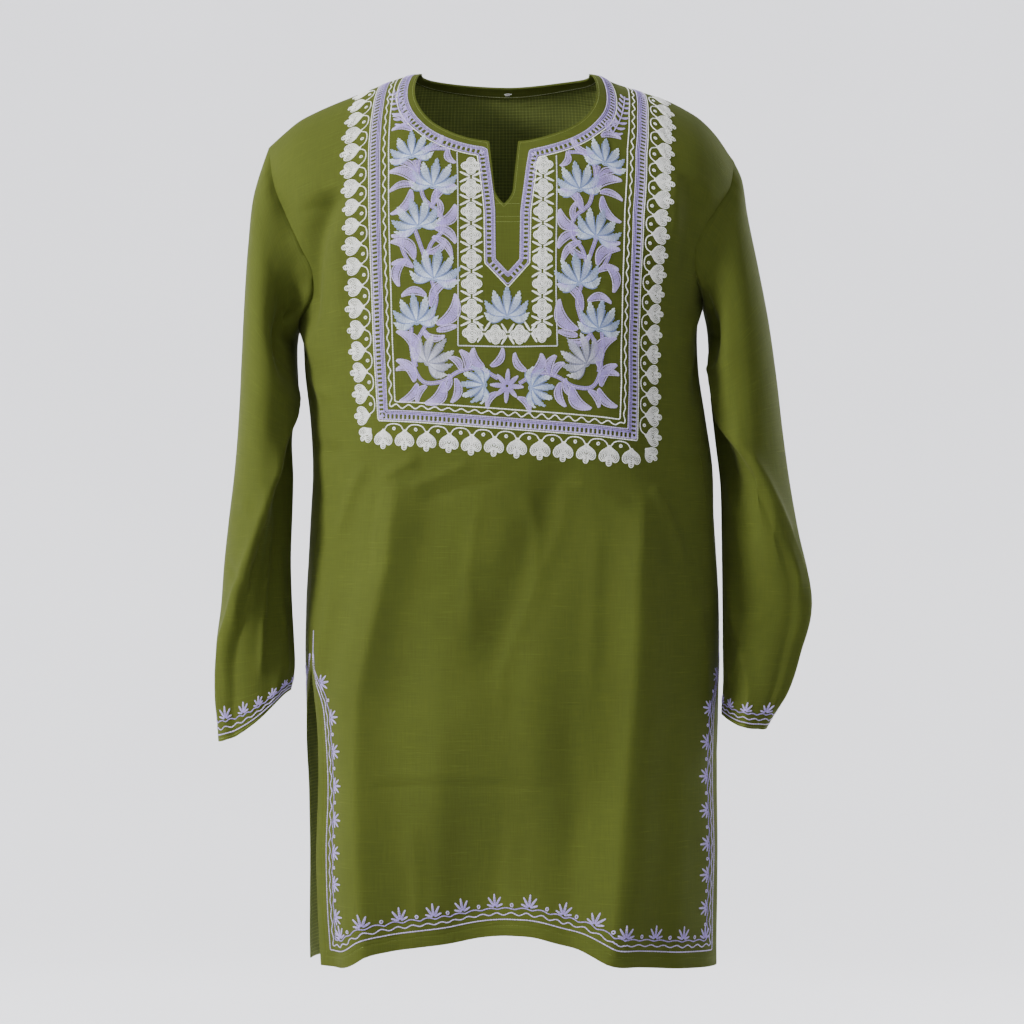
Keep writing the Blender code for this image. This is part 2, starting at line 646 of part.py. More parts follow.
def make_sleeve(name, side):
    """A set-in sleeve: its outer face starts just off the armhole's edge and runs to the cuff."""
    edge, normals, away = armhole_loop(side)
    count = len(edge)
    angle = np.linspace(0, 2 * math.pi, count, endpoint=False)
    rows = SLEEVES[side]
    top, underarm = edge[0], edge[ARMHOLE_STEPS]
    start = edge + WALL * normals + SEAM_GAP * away
    first = dict(zip(SLEEVE_COLUMNS, rows[0]))
    plain = (top + underarm) / 2 + np.cos(angle)[:, None] * (top - underarm) / 2
    plain[:, 1] = -np.sin(angle) * first["depth"] * MM
    stations = [start]
    for k, row in enumerate(rows):
        keep = ARMHOLE_SHARES[k] if k < len(ARMHOLE_SHARES) else 0.0
        stations.append(sleeve_section(side, row, angle) + keep * (start - plain))
    stations = np.array(stations)
    spread = np.linalg.norm(np.diff(stations, axis=0), axis=2).mean(axis=1)
    travelled = np.concatenate(([0.0], np.cumsum(spread)))
    along = np.linspace(0, 1, SLEEVE_RINGS) ** RING_CROWDING * travelled[-1]
    flat = stations.reshape(len(stations), -1)
    rings = np.stack([smooth(along, travelled, flat[:, c]) for c in range(flat.shape[1])], axis=1)
    rings = rings.reshape(SLEEVE_RINGS, count, 3)
    closed = np.concatenate((rings, rings[:, :1]), axis=1)
    out = grid_normals(closed, closed=True)[:, :-1]
    centre = rings.mean(axis=1, keepdims=True)
    if ((rings - centre) * out).sum() < 0:
        out = -out
    inner = rings - WALL * out
    inner[0] = edge + SEAM_GAP * away
    faces = []
    for i in range(SLEEVE_RINGS - 1):
        for j in range(count):
            a, b = i * count + j, i * count + (j + 1) % count
            faces.append((a, b, b + count, a + count))
    faces = np.array(faces)
    a, b, c = rings.reshape(-1, 3)[faces[0, :3]]
    if np.dot(np.cross(b - a, c - a), out[0, 0]) < 0:
        faces = faces[:, ::-1]
    return walled(name, rings.reshape(-1, 3), inner.reshape(-1, 3), faces)


def main():
    for thing in list(bpy.data.objects):
        bpy.data.objects.remove(thing, do_unlink=True)
    kurta = bpy.data.collections.new("kurta_tunic")
    bpy.context.scene.collection.children.link(kurta)
    pieces = make_front() + make_back()
    pieces.append(make_sleeve("sleeve_right", -1))
    pieces.append(make_sleeve("sleeve_left", 1))
    for piece in pieces:
        kurta.objects.link(piece)


main()
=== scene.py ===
"""Looks of a kurta tunic: slubby olive cotton filled out as if worn, with chain-stitch embroidery.

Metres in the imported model's frame: +X is to the right of someone facing the front, -Y is the front
and +Z is up, with the origin in the middle of the neck. Tables are in millimetres. Places on a panel
are (across, down) in its flat: 270 across is the side seam, and down is measured along the cloth from
the shoulder line.
"""

import math
from collections import Counter
from itertools import product

import bpy
import numpy as np
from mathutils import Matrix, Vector
from mathutils.geometry import delaunay_2d_cdt


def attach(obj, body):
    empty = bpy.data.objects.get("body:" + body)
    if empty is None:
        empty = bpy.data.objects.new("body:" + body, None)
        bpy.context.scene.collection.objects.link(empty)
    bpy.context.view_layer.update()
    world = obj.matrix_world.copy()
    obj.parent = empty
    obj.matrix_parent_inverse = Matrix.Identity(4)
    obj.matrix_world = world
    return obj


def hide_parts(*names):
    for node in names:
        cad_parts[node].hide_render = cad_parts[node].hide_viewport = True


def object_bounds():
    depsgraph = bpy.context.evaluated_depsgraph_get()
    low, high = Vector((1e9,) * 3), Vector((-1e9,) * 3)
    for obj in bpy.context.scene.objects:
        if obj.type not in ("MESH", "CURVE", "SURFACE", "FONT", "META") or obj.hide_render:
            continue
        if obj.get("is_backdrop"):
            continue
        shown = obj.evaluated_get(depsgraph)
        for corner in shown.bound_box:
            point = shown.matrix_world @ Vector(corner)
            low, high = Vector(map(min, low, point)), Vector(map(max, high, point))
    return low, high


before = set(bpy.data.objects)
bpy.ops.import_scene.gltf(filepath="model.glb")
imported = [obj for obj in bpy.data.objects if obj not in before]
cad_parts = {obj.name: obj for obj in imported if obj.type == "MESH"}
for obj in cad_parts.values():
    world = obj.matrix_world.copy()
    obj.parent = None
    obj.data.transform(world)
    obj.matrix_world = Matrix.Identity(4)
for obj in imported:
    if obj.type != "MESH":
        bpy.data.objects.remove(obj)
CAD_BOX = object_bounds()

bl_info = {
    "name": "Embroidered Kurta",
    "version": (1, 0, 0),
    "blender": (4, 5, 0),
    "location": "View3D > Sidebar > Kurta",
    "description": "Cotton kurta tunic with chain-stitch embroidery",
    "category": "Add Mesh",
}

MM = 0.001

# Cut of the cloth, the same as the solids'
SEAM_GAP = 0.3 * MM
CLOTH_OUT = 1.1 * MM
CLOTH_IN = 0.2 * MM

NECK_HALF_WIDTH = 97 * MM
FRONT_NECK_DROP = 79 * MM
BACK_NECK_DROP = 10 * MM
FRONT_NECK_ROUNDNESS = 2.35
BACK_NECK_ROUNDNESS = 1.75
NOTCH_MIDDLE = -4 * MM
NOTCH_HALF_TOP = 14 * MM
NOTCH_HALF_BOTTOM = 9 * MM
NOTCH_TIP = 17 * MM
NOTCH_BOTTOM = 144 * MM
FACING_WIDTH = 9 * MM
FACING_OUT = -0.4 * MM
FACING_IN = -1.3 * MM
HEM_STITCHING = 10.5

SLIT_TOP = 655 * MM
HEM_SIDE = 959.5 * MM
BACK_HEM_RISE = 16 * MM
BACK_HEM_REACH = 200 * MM
HEM_CORNER = 225 * MM
LONGEST = 965 * MM
ARMHOLE_DEPTH = {-1: 280 * MM, 1: 254 * MM}
QUARTER = 270 * MM

# How finely the shapes are worked out
GRID_DOWN = 484
GRID_QUARTER = 135
SHOULDER_CELL = 2.6 * MM
CELL_GROWTH = 0.05
ROW_HEIGHT = 0.88
LINE_CLEARANCE = 0.5
NECK_STEP = 3 * MM
EDGE_STEP = 5 * MM
ARMHOLE_STEPS = 56
SLEEVE_RINGS = 165
CHUNK = 3000
FINE_STEPS = 400
CURVE_STEP = 1.5
SHARP_ANGLE = 60
HANDS = {-1: "left", 1: "right"}

LEVEL_COLUMNS = ("down", "drop", "front", "back", "left", "right", "corner", "slope")
LEVELS = (
    (0, 0, 0, 0, 247, 232, 5.0, 1.00), (15, 3, 15, 15, 247, 233, 5.0, 1.00),
    (31, 10, 28.5, 28, 246.5, 233, 4.8, 1.00), (51, 23, 44, 42, 245.5, 232, 4.5, 0.97),
    (81, 46, 63, 58, 243, 230, 4.0, 0.92), (111, 72, 78, 72, 239, 226, 3.6, 0.85),
    (150, 108, 93, 87, 232, 219, 3.2, 0.73), (200, 156, 107, 101, 223, 208, 2.9, 0.57),
    (280, 235, 119, 112, 212.5, 196, 2.5, 0.36), (345, 300, 122, 114, 208, 195, 2.4, 0.20),
    (390, 345, 121.5, 113, 203, 201, 2.35, 0.12), (445, 400, 120, 111, 200, 209, 2.3, 0.06),
    (500, 455, 118, 111, 202, 211.5, 2.3, 0.02), (545, 500, 118, 112, 204.5, 213.5, 2.3, 0.00),
    (600, 555, 118, 114, 208, 216, 2.3, 0.00), (645, 600, 118, 115, 208.5, 216.5, 2.3, 0.00),
    (700, 655, 119, 117, 206, 215.5, 2.3, 0.00), (760, 715, 120, 118, 205.5, 215, 2.35, 0.00),
    (850, 805, 121, 119, 206, 216, 2.4, 0.00), (965, 920, 122, 120, 205, 215, 2.4, 0.00),
)

SHOULDER_COLUMNS = ("out", "left", "right")
SHOULDER = (
    (0, 0, 0), (80, 0, 0), (93, 0.5, 2), (105, 3, 8), (120, 8, 13.5), (140, 16, 20), (160, 24, 26.5),
    (180, 32, 36), (200, 41, 49), (215, 49, 65), (232, 63, 89), (247, 76.5, 100),
)

ARMHOLE_COLUMNS = ("part", "front_left", "front_right", "back")
ARMHOLE = (
    (0.00, 1.000, 1.000, 1.000), (0.10, 0.992, 0.993, 0.994), (0.25, 0.986, 0.987, 0.989),
    (0.40, 0.978, 0.974, 0.983), (0.55, 0.967, 0.954, 0.974), (0.70, 0.948, 0.930, 0.960),
    (0.85, 0.943, 0.922, 0.956), (0.95, 0.968, 0.955, 0.973), (1.00, 1.000, 1.000, 1.000),
)

SIDE_COLUMNS = ("down", "front_left", "front_right", "back_left", "back_right")
SIDES = (
    (250, 1.00, 1.00, 1.00, 1.00), (300, 0.98, 0.98, 0.98, 0.98), (345, 0.92, 0.92, 0.92, 0.92),
    (400, 0.84, 0.83, 0.84, 0.83), (445, 0.81, 0.80, 0.81, 0.80), (500, 0.82, 0.84, 0.82, 0.84),
    (550, 0.85, 0.91, 0.85, 0.91), (600, 0.86, 0.955, 0.86, 0.955), (655, 0.83, 0.965, 0.83, 0.965),
    (700, 0.805, 0.93, 0.94, 1.00), (760, 0.79, 0.90, 1.03, 1.03), (850, 0.79, 0.90, 1.05, 1.05),
    (965, 0.765, 0.885, 1.06, 1.06),
)

HEM_COLUMNS = ("across", "rise")
HEM = (
    (-230, 4), (-190, 4.5), (-162, 7), (-151, 12), (-141, 18.5), (-121, 24), (-101, 27), (-62, 31.5),
    (-26, 37.5), (4, 39.5), (24, 38.5), (50, 32), (71, 26.5), (83, 20), (93, 14), (125, 9.5), (156, 6),
    (206, 2), (250, 0),
)

# Folds and creases: path (across and down of each point in turn), reach (half width), rise (negative
# for a trough), lengths at the start and end over which it fades, and sharpness (2 is a soft roll, and
# less is a crease)
FOLDS = (
    # The large ones that the solids have
    ((-112, 425, -124, 549, -160, 690, -154, 790, -147, 975), 27, 13, 110, 5, 2),
    ((142, 450, 134, 555, 132, 690, 121, 790, 102, 975), 29, 14, 110, 5, 2),
    ((52, 430, 44, 505, 8, 585, -18, 680), 30, -7, 60, 60, 2),
    ((-18, 700, -22, 975), 78, -24, 200, 5, 2),
    ((-60, 250, -95, 330, -120, 400), 34, -4, 60, 60, 2),
    ((418, 430, 428, 690, 420, 975), 30, 11, 130, 5, 2),
    ((-402, 440, -424, 700, -430, 975), 32, 12, 130, 5, 2),
    ((500, 520, 508, 975), 34, -9, 160, 5, 2),
    ((-476, 500, -500, 975), 30, -8, 160, 5, 2),
    # Crests of the two pressed folds at the front
    ((-113, 440, -120, 549, -150, 684, -151, 778, -143, 931, -139, 970), 8, 3.0, 70, 3, 1.2),
    ((139, 456, 126, 554, 121, 683, 112, 775, 108, 819, 100, 924, 90, 970), 8, 2.8, 70, 3, 1.2),
    # Diagonal and upright creases of the skirt
    ((62, 452, 56, 502, 22, 586, -6, 655, -10, 720), 11, 2.2, 30, 70, 1.5),
    ((20, 560, 28, 760, 30, 975), 22, 2.6, 120, 5, 2),
    ((-72, 600, -66, 760, -78, 975), 18, 2.0, 120, 5, 1.8),
    ((60, 640, 66, 800, 60, 975), 15, -2.2, 110, 5, 2),
    ((-190, 700, -186, 975), 14, -2.2, 80, 5, 1.8),
    ((176, 640, 172, 800, 166, 975), 16, 2.4, 80, 5, 1.8),
    # Creases from having lain folded
    ((-150, 772, -79, 769, 22, 769, 66, 772), 5, -1.1, 20, 40, 1.4),
    ((-140, 761, -60, 758, 10, 760), 7, 0.9, 20, 40, 1.8),
    ((98, 776, 154, 786, 205, 790), 5, -1.0, 10, 30, 1.4),
    ((-90, 566, -20, 560, 70, 566), 6, -0.6, 40, 40, 1.6),
    # Short wrinkles under the embroidery and at its corners
    ((-134, 463, -112, 452, -90, 441), 5, 2.6, 8, 12, 1.4),
    ((-104, 473, -66, 459, -30, 446), 5, 2.4, 12, 22, 1.4),
    ((-96, 488, -44, 472, 6, 462), 6, -1.6, 20, 30, 1.7),
    ((-150, 446, -168, 474, -190, 530), 8, 3.0, 12, 30, 1.6),
    ((-136, 470, -142, 520, -140, 580), 6, -2.0, 16, 40, 1.6),
    ((146, 466, 164, 500, 188, 560), 8, 3.2, 12, 30, 1.6),
    ((60, 465, 94, 476, 124, 492), 6, 2.2, 14, 20, 1.5),
    ((16, 470, 30, 520, 24, 580), 7, 1.6, 20, 40, 1.6),
    ((-30, 480, -40, 560, -36, 640), 8, 1.4, 30, 50, 1.7),
    ((90, 500, 84, 600, 80, 700), 9, 1.6, 40, 60, 1.7),
    ((-186, 560, -204, 640, -214, 720), 9, 2.2, 30, 60, 1.7),
    ((196, 560, 214, 640, 222, 720), 9, 2.2, 30, 60, 1.7),
    ((-100, 800, -92, 870, -98, 940), 8, 1.4, 30, 20, 1.7),
    ((8, 790, 2, 860, 10, 930), 9, 1.3, 30, 20, 1.7),
    # Chest and underarms
    ((-166, 138, -175, 165, -188, 195, -201, 228, -213, 265, -218, 320), 16, -12.5, 30, 60, 1.9),
    ((-210, 162, -186, 156, -160, 160), 8, -1.6, 14, 14, 1.8),
    ((-172, 180, -168, 250, -176, 340), 12, 3.0, 30, 60, 1.8),
    ((168, 118, 170, 165, 172, 225), 10, 3.4, 24, 34, 1.6),
    ((192, 118, 190, 180, 190, 260), 14, -4.5, 28, 50, 1.9),
    ((-264, 288, -228, 306, -190, 350), 12, 3.4, 8, 40, 1.8),
    ((-264, 300, -238, 342, -214, 410), 10, -3.0, 8, 50, 1.8),
    ((-250, 330, -214, 366, -176, 380), 8, 2.0, 12, 30, 1.7),
    ((262, 262, 222, 288, 188, 336), 12, 3.4, 8, 40, 1.8),
    ((264, 280, 236, 330, 214, 400), 10, -3.0, 8, 50, 1.8),
    ((250, 310, 216, 344, 180, 366), 8, 2.0, 12, 30, 1.7),
    ((-236, 420, -200, 434, -164, 432), 8, -2.0, 16, 30, 1.7),
    ((238, 424, 202, 440, 168, 438), 8, -2.0, 16, 30, 1.7),
    # Back: shoulder blades, waist and skirt
    ((430, 120, 446, 220, 440, 330), 24, 7.0, 60, 70, 2),
    ((-436, 120, -448, 220, -446, 330), 24, 6.4, 60, 70, 2),
    ((300, 290, 352, 330, 410, 372), 12, 6.6, 14, 50, 1.7),
    ((-300, 300, -350, 344, -404, 380), 12, 6.4, 14, 50, 1.7),
    ((310, 400, 370, 420, 450, 424), 11, -4.2, 20, 60, 1.8),
    ((-312, 410, -372, 432, -440, 430), 11, -4.0, 20, 60, 1.8),
    ((418, 470, 428, 690, 424, 970), 8, 3.4, 70, 3, 1.2),
    ((-402, 480, -424, 700, -428, 970), 8, 3.2, 70, 3, 1.2),
    ((470, 600, 462, 780, 470, 975), 16, 4.2, 110, 5, 1.7),
    ((-520, 560, -512, 760, -520, 975), 17, 4.4, 110, 5, 1.7),
    ((520, 300, 505, 400, 515, 480), 16, -4.6, 60, 60, 1.9),
    ((-500, 130, -484, 240, -500, 360), 18, -5.0, 60, 80, 1.9),
    ((340, 230, 392, 262, 450, 268), 12, -3.0, 20, 60, 1.8),
    ((-346, 240, -398, 276, -452, 280), 12, -3.0, 20, 60, 1.8),
    ((400, 770, 470, 766, 535, 770), 5, -1.6, 30, 40, 1.4),
    ((-535, 768, -470, 764, -400, 772), 5, -1.6, 30, 40, 1.4),
)

# Sleeve sections, from just past the armhole to the cuff: outer end (x, z), inner end (x, z), middle,
# depth, corner, the crease's angle and rise, and dip
SLEEVES = {
    -1: (
        (252.0, 91.0, 216.5, 266.5, 2, 54, 2.2, 165, 0, 0),
        (261.5, 122.0, 217.5, 279.0, 3, 57, 2.2, 165, 0, 0),
        (267.5, 175.0, 217.5, 297.0, 5, 61, 2.2, 165, 1, 0),
        (271.5, 238.0, 216.5, 320.0, 7, 65, 2.15, 160, 3, 0),
        (274.0, 293.0, 218.0, 345.0, 9, 66, 2.1, 152, 5, 0),
        (276.5, 347.0, 222.5, 374.0, 10, 65, 2.05, 140, 7, 0),
        (281.0, 408.0, 221.0, 418.0, 12, 62, 2.0, 122, 8, 0),
        (287.5, 465.0, 221.5, 460.0, 15, 58, 2.0, 103, 8, 0),
        (291.5, 506.0, 222.5, 501.0, 19, 54, 2.0, 86, 8, 0),
        (294.0, 547.0, 221.0, 547.0, 25, 49, 2.0, 66, 7, 0),
        (297.5, 590.0, 218.5, 586.0, 32, 44, 2.0, 46, 6, 2),
        (296.0, 630.0, 217.5, 611.0, 38, 39, 2.05, 30, 5, 6),
        (294.0, 682.0, 221.0, 634.0, 44, 34, 2.1, 20, 2, 8),
    ),
    1: (
        (241.0, 110.0, 203.0, 254.0, 2, 52, 2.2, 100, 0, 0),
        (246.0, 142.0, 205.0, 266.0, 3, 55, 2.2, 100, 2, 0),
        (257.0, 197.0, 206.0, 284.0, 5, 59, 2.15, 108, 4, 0),
        (267.5, 252.0, 206.0, 311.0, 7, 62, 2.1, 116, 6, 0),
        (276.0, 312.0, 209.0, 345.0, 9, 62, 2.05, 122, 7, 0),
        (282.5, 368.0, 213.5, 384.0, 10, 60, 2.0, 112, 8, 0),
        (289.5, 420.0, 218.0, 424.0, 12, 57, 2.0, 96, 8, 0),
        (298.5, 472.0, 219.0, 470.0, 15, 54, 2.0, 76, 8, 0),
        (308.5, 522.0, 219.5, 516.0, 19, 50, 2.0, 52, 8, 0),
        (307.5, 553.0, 219.5, 553.0, 24, 46, 2.0, 38, 7, 0),
        (295.5, 590.0, 219.0, 590.0, 32, 42, 2.0, 28, 6, 1),
        (283.5, 626.0, 219.0, 624.0, 40, 38, 2.05, 24, 5, 3),
        (261.5, 669.0, 217.0, 658.0, 50, 34, 2.1, 20, 2, 5),
    ),
}
ARMHOLE_SHARES = (0.55, 0.25, 0.08)
CREASE_ANGLE = 55
CREASE_SHARPNESS = 1.6
SLEEVE_GIRTH = 280

# Hollow of a sleeve's front past its main crease: how far down, the crease's place across, its depth
HOLLOW_WALL = 13
HOLLOW_END = 146
HOLLOWS = {
    -1: (
        (90, 146, 0), (139, 140, 3), (170, 128, 8), (203, 110, 12), (240, 98, 15), (278, 85, 17),
        (324, 70, 18), (372, 52, 16), (415, 40, 13), (445, 34, 11), (496, 30, 9),
    ),
    1: (
        (60, 146, 0), (90, 132, 2), (150, 122, 7), (187, 113, 11), (228, 85, 14), (259, 66, 13),
        (290, 53, 10), (325, 43, 7.5), (356, 37, 6.5), (420, 32, 6), (512, 30, 5),
    ),
}

# Sleeve creases, as the folds, but across is the length round from the outer end through the front,
# of 280 in all, and down is the length from the armhole.
SLEEVE_FOLDS = {
    -1: (
        ((140, 100, 126, 165, 107, 203, 95, 240, 81, 278, 66, 324, 48, 372, 34, 415, 26, 445, 22,
          496), 7, 4.5, 40, 30, 1.3),
        ((114, 6, 98, 50, 94, 100, 108, 150), 23, -17, 20, 70, 2),
        ((84, 30, 78, 90, 80, 170), 12, 3.0, 24, 70, 1.8),
        ((122, 270, 108, 340, 88, 400, 78, 460), 6, 3.4, 50, 30, 1.4),
        ((132, 300, 128, 380, 124, 470), 7, 2.4, 40, 20, 1.6),
        ((132, 6, 118, 30, 96, 52), 8, 2.2, 6, 20, 1.7),
        ((128, 30, 108, 62, 88, 78), 8, -2.0, 8, 20, 1.7),
        ((120, 90, 96, 104, 70, 104), 6, 1.4, 10, 16, 1.6),
        ((126, 250, 100, 262, 70, 258), 8, -1.8, 16, 24, 1.7),
        ((40, 270, 66, 292, 100, 300), 8, 1.8, 16, 24, 1.7),
        ((20, 330, 52, 352, 92, 350), 7, -1.5, 16, 24, 1.7),
        ((126, 390, 112, 450, 100, 500), 9, 1.8, 24, 24, 1.7),
        ((180, 200, 214, 232, 250, 236), 11, 2.4, 20, 30, 1.8),
        ((170, 290, 206, 312, 248, 306), 10, -2.2, 20, 30, 1.8),
        ((176, 90, 190, 200, 200, 340, 214, 480), 14, 2.4, 60, 60, 1.8),
        ((240, 60, 250, 160, 246, 260), 14, -2.0, 40, 50, 1.9),
    ),
    1: (
        ((130, 60, 120, 130, 111, 187, 82, 225, 61, 259, 46, 290, 32, 325, 26, 356, 22, 430, 20,
          505), 7, 4.5, 40, 30, 1.3),
        ((116, 4, 108, 60, 110, 130), 16, -9, 20, 70, 2),
        ((96, 20, 92, 90, 96, 160), 10, 3.4, 24, 60, 1.7),
        ((130, 350, 112, 410, 84, 470, 66, 540), 10, 3.4, 40, 30, 1.5),
        ((130, 8, 112, 36, 96, 60), 8, 2.2, 6, 20, 1.7),
        ((136, 40, 118, 70, 98, 84), 8, -2.2, 8, 20, 1.7),
        ((132, 110, 112, 118, 92, 112), 6, 1.6, 10, 16, 1.6),
        ((134, 250, 112, 300, 104, 340), 9, 2.4, 16, 24, 1.6),
        ((120, 290, 96, 312, 70, 306), 8, -2.2, 16, 24, 1.7),
        ((134, 400, 100, 404, 60, 398), 7, 1.8, 10, 24, 1.6),
        ((128, 424, 96, 430, 66, 436), 6, -1.6, 10, 24, 1.6),
        ((130, 470, 100, 440, 74, 420), 8, 2.0, 12, 24, 1.6),
        ((30, 300, 14, 350, 10, 400), 9, -2.0, 20, 30, 1.7),
        ((182, 210, 216, 236, 252, 240), 11, 2.4, 20, 30, 1.8),
        ((176, 300, 210, 330, 252, 318), 10, -2.4, 20, 30, 1.8),
        ((184, 80, 196, 200, 204, 340, 210, 460), 14, 2.2, 60, 60, 1.8),
    ),
}


def travelled(path):
    """The length along a path to each of its points."""
    steps = np.linalg.norm(np.diff(path, axis=0), axis=1)
    return np.concatenate(([0.0], np.cumsum(steps)))


def evened(run, steps, *values):
    """Values along a line, read at even steps of its length."""
    even = np.linspace(0, run[-1], steps + 1)
    return [np.interp(even, run, value) for value in values]


def smooth(at, places, values, level_start=False):
    """Reads a smooth curve through a table's rows."""
    at = np.asarray(at, float)
    slopes = np.gradient(values, places)
    if level_start:
        slopes[0] = 0.0
    row = np.clip(np.searchsorted(places, at) - 1, 0, len(places) - 2)
    step = places[row + 1] - places[row]
    t = np.clip((at - places[row]) / step, 0.0, 1.0)
    start = (2 * t**3 - 3 * t**2 + 1) * values[row] + (t**3 - 2 * t**2 + t) * step * slopes[row]
    end = (3 * t**2 - 2 * t**3) * values[row + 1] + (t**3 - t**2) * step * slopes[row + 1]
    return start + end


def ease(t):
    t = np.clip(t, 0.0, 1.0)
    return t * t * (3 - 2 * t)


def unit(vectors):
    return vectors / np.maximum(np.linalg.norm(vectors, axis=-1, keepdims=True), 1e-12)


def read(rows, columns, name, at, scale=MM, start=MM):
    """A smooth curve through a column of a table, whose first column says where its rows lie."""
    table = dict(zip(columns, np.array(rows, float).T))
    return smooth(at, table[columns[0]] * start, table[name] * scale, level_start=name == "drop")


def level(name, down):
    """A column of LEVELS in metres, or as it is for the two that aren't lengths."""
    return read(LEVELS, LEVEL_COLUMNS, name, down, 1.0 if name in ("corner", "slope") else MM)


def shoulder_drop(out, side):
    return read(SHOULDER, SHOULDER_COLUMNS, HANDS[side], out)


def quarter_section(half_width, depth, corner):
    """A quarter of a rounded outline, evenly spaced from the middle to the side, as shares."""
    angle = np.linspace(0, math.pi / 2, 361)
    across, forward = np.sin(angle) ** (2 / corner), np.cos(angle) ** (2 / corner)
    run = travelled(np.stack((across * half_width, forward * max(depth, 1e-6)), axis=1))
    return evened(run, GRID_QUARTER, across, forward)


def fold_rise(across, down, folds):
    """The height that some folds add at each point of the cloth."""
    total = np.zeros(np.broadcast(across, down).shape)
    for path, reach, rise, start, end, sharp in folds:
        path = np.array(path, float).reshape(-1, 2) * MM
        run = travelled(path)
        nearest, along = np.full(total.shape, np.inf), np.zeros(total.shape)
        for first, second, before, after in zip(path, path[1:], run, run[1:]):
            way = (second - first) / (after - before)
            t = np.clip((across - first[0]) * way[0] + (down - first[1]) * way[1], 0, after - before)
            away = np.hypot(across - first[0] - way[0] * t, down - first[1] - way[1] * t)
            along = np.where(away < nearest, before + t, along)
            nearest = np.minimum(away, nearest)
        fade = ease(along / (start * MM)) * ease((run[-1] - along) / (end * MM))
        total += rise * MM * np.exp(-((nearest / (reach * MM)) ** sharp)) * fade
    return total


def unevenness(across, down, seed, height):
    """Soft ripples that a worn cloth has all over, mostly upright."""
    random = np.random.default_rng(seed)
    total = np.zeros(np.broadcast(across, down).shape)
    for _ in range(22):
        wave = random.uniform(42, 190) * MM
        lean = random.normal(0.0, 0.5)
        phase = random.uniform(0, 2 * math.pi)
        turns = (across * math.cos(lean) + down * math.sin(lean)) / wave
        total += np.sin(2 * math.pi * turns + phase) * wave
    return total * height / (0.116 * math.sqrt(22 / 2))


def grid_normals(points):
    """Outward normals of a grid whose rows go down and whose columns go all the way round."""
    ring = np.concatenate((points[:, -2:-1], points, points[:, 1:2]), axis=1)
    return unit(np.cross(np.gradient(points, axis=0), ring[:, 2:] - ring[:, :-2]))


def body_grid():
    """The body's surface: points by level and by quarter, from the middle of the back round."""
    downs = np.linspace(0, LONGEST, GRID_DOWN)
    steps = np.arange(GRID_QUARTER + 1)
    points = np.zeros((GRID_DOWN, 4 * GRID_QUARTER + 1, 3))
    for i, down in enumerate(downs):
        corner, drop, slope = (float(level(name, down)) for name in ("corner", "drop", "slope"))
        for side, (towards, name) in product((-1, 1), ((-1, "front"), (1, "back"))):
            half_width, depth = float(level(HANDS[side], down)), float(level(name, down))
            across, forward = quarter_section(half_width, depth, corner)
            out = across * half_width
            fall = -drop - slope * shoulder_drop(out, side)
            columns = 2 * GRID_QUARTER + side * (steps if towards < 0 else 2 * GRID_QUARTER - steps)
            points[i, columns] = np.stack((side * out, towards * depth * forward, fall), axis=1)
    across = np.linspace(-2, 2, 4 * GRID_QUARTER + 1)[None, :] * QUARTER
    rise = fold_rise(across, downs[:, None], FOLDS)
    rise += unevenness(across, downs[:, None], 7, 0.55 * MM) * ease(downs[:, None] / 0.12)
    # The middle of the back is where the columns meet, so both ends get the same height.
    join = ease((2 * QUARTER - np.abs(across)) / (30 * MM))
    rise = rise * join + (rise[:, :1] + rise[:, -1:]) / 2 * (1 - join)
    points = points + rise[..., None] * grid_normals(points)
    return points, grid_normals(points)


def read_grid(grid, row, col):
    """Values of a grid between its rows and columns."""
    row = np.clip(row, 0, grid.shape[0] - 1.001)
    col = np.clip(col, 0, grid.shape[1] - 1.001)
    i, j = row.astype(int), col.astype(int)
    a, b = (row - i)[..., None], (col - j)[..., None]
    upper = grid[i, j] * (1 - b) + grid[i, j + 1] * b
    lower = grid[i + 1, j] * (1 - b) + grid[i + 1, j + 1] * b
    return upper * (1 - a) + lower * a


BODY_POINTS, BODY_NORMALS = body_grid()


def body(quarter, down):
    """Points and outward normals of the body's surface."""
    quarter, down = np.broadcast_arrays(np.asarray(quarter, float), np.asarray(down, float))
    row = down / LONGEST * (GRID_DOWN - 1)
    col = (quarter + 2) * GRID_QUARTER
    return read_grid(BODY_POINTS, row, col), unit(read_grid(BODY_NORMALS, row, col))


def flat_to_body(panel, across, down):
    """Points and normals of a panel's flat coordinates."""
    across = np.asarray(across, float)
    if panel == "front":
        quarter = across / QUARTER
    else:
        quarter = np.where(across >= 0, -2 + across / QUARTER, 2 + across / QUARTER)
    return body(quarter, down)


def down_at_drop(drop):
    """How far down the cloth a given height lies, at the middle of a panel."""
    downs = np.linspace(0, LONGEST, 2000)
    return np.interp(drop, level("drop", downs), downs)


def armhole(side, panel):
    """The armhole's edge from the shoulder point to the underarm, as (quarter, down)."""
    name = "back" if panel == "back" else "front_" + HANDS[side]
    part = np.linspace(0, 1, FINE_STEPS)
    share = np.minimum(read(ARMHOLE, ARMHOLE_COLUMNS, name, part, 1.0, 1.0), 1.0)
    down = part * ARMHOLE_DEPTH[side]
    quarter = np.ones(FINE_STEPS)
    for k in range(1, FINE_STEPS - 1):
        sizes = [float(level(size, down[k])) for size in (HANDS[side], panel, "corner")]
        across, _ = quarter_section(*sizes)
        quarter[k] = np.interp(share[k], across, np.linspace(0, 1, len(across)))
    points, _ = body(side * (quarter if panel == "front" else 2 - quarter), down)
    return evened(travelled(points), ARMHOLE_STEPS, quarter, down)


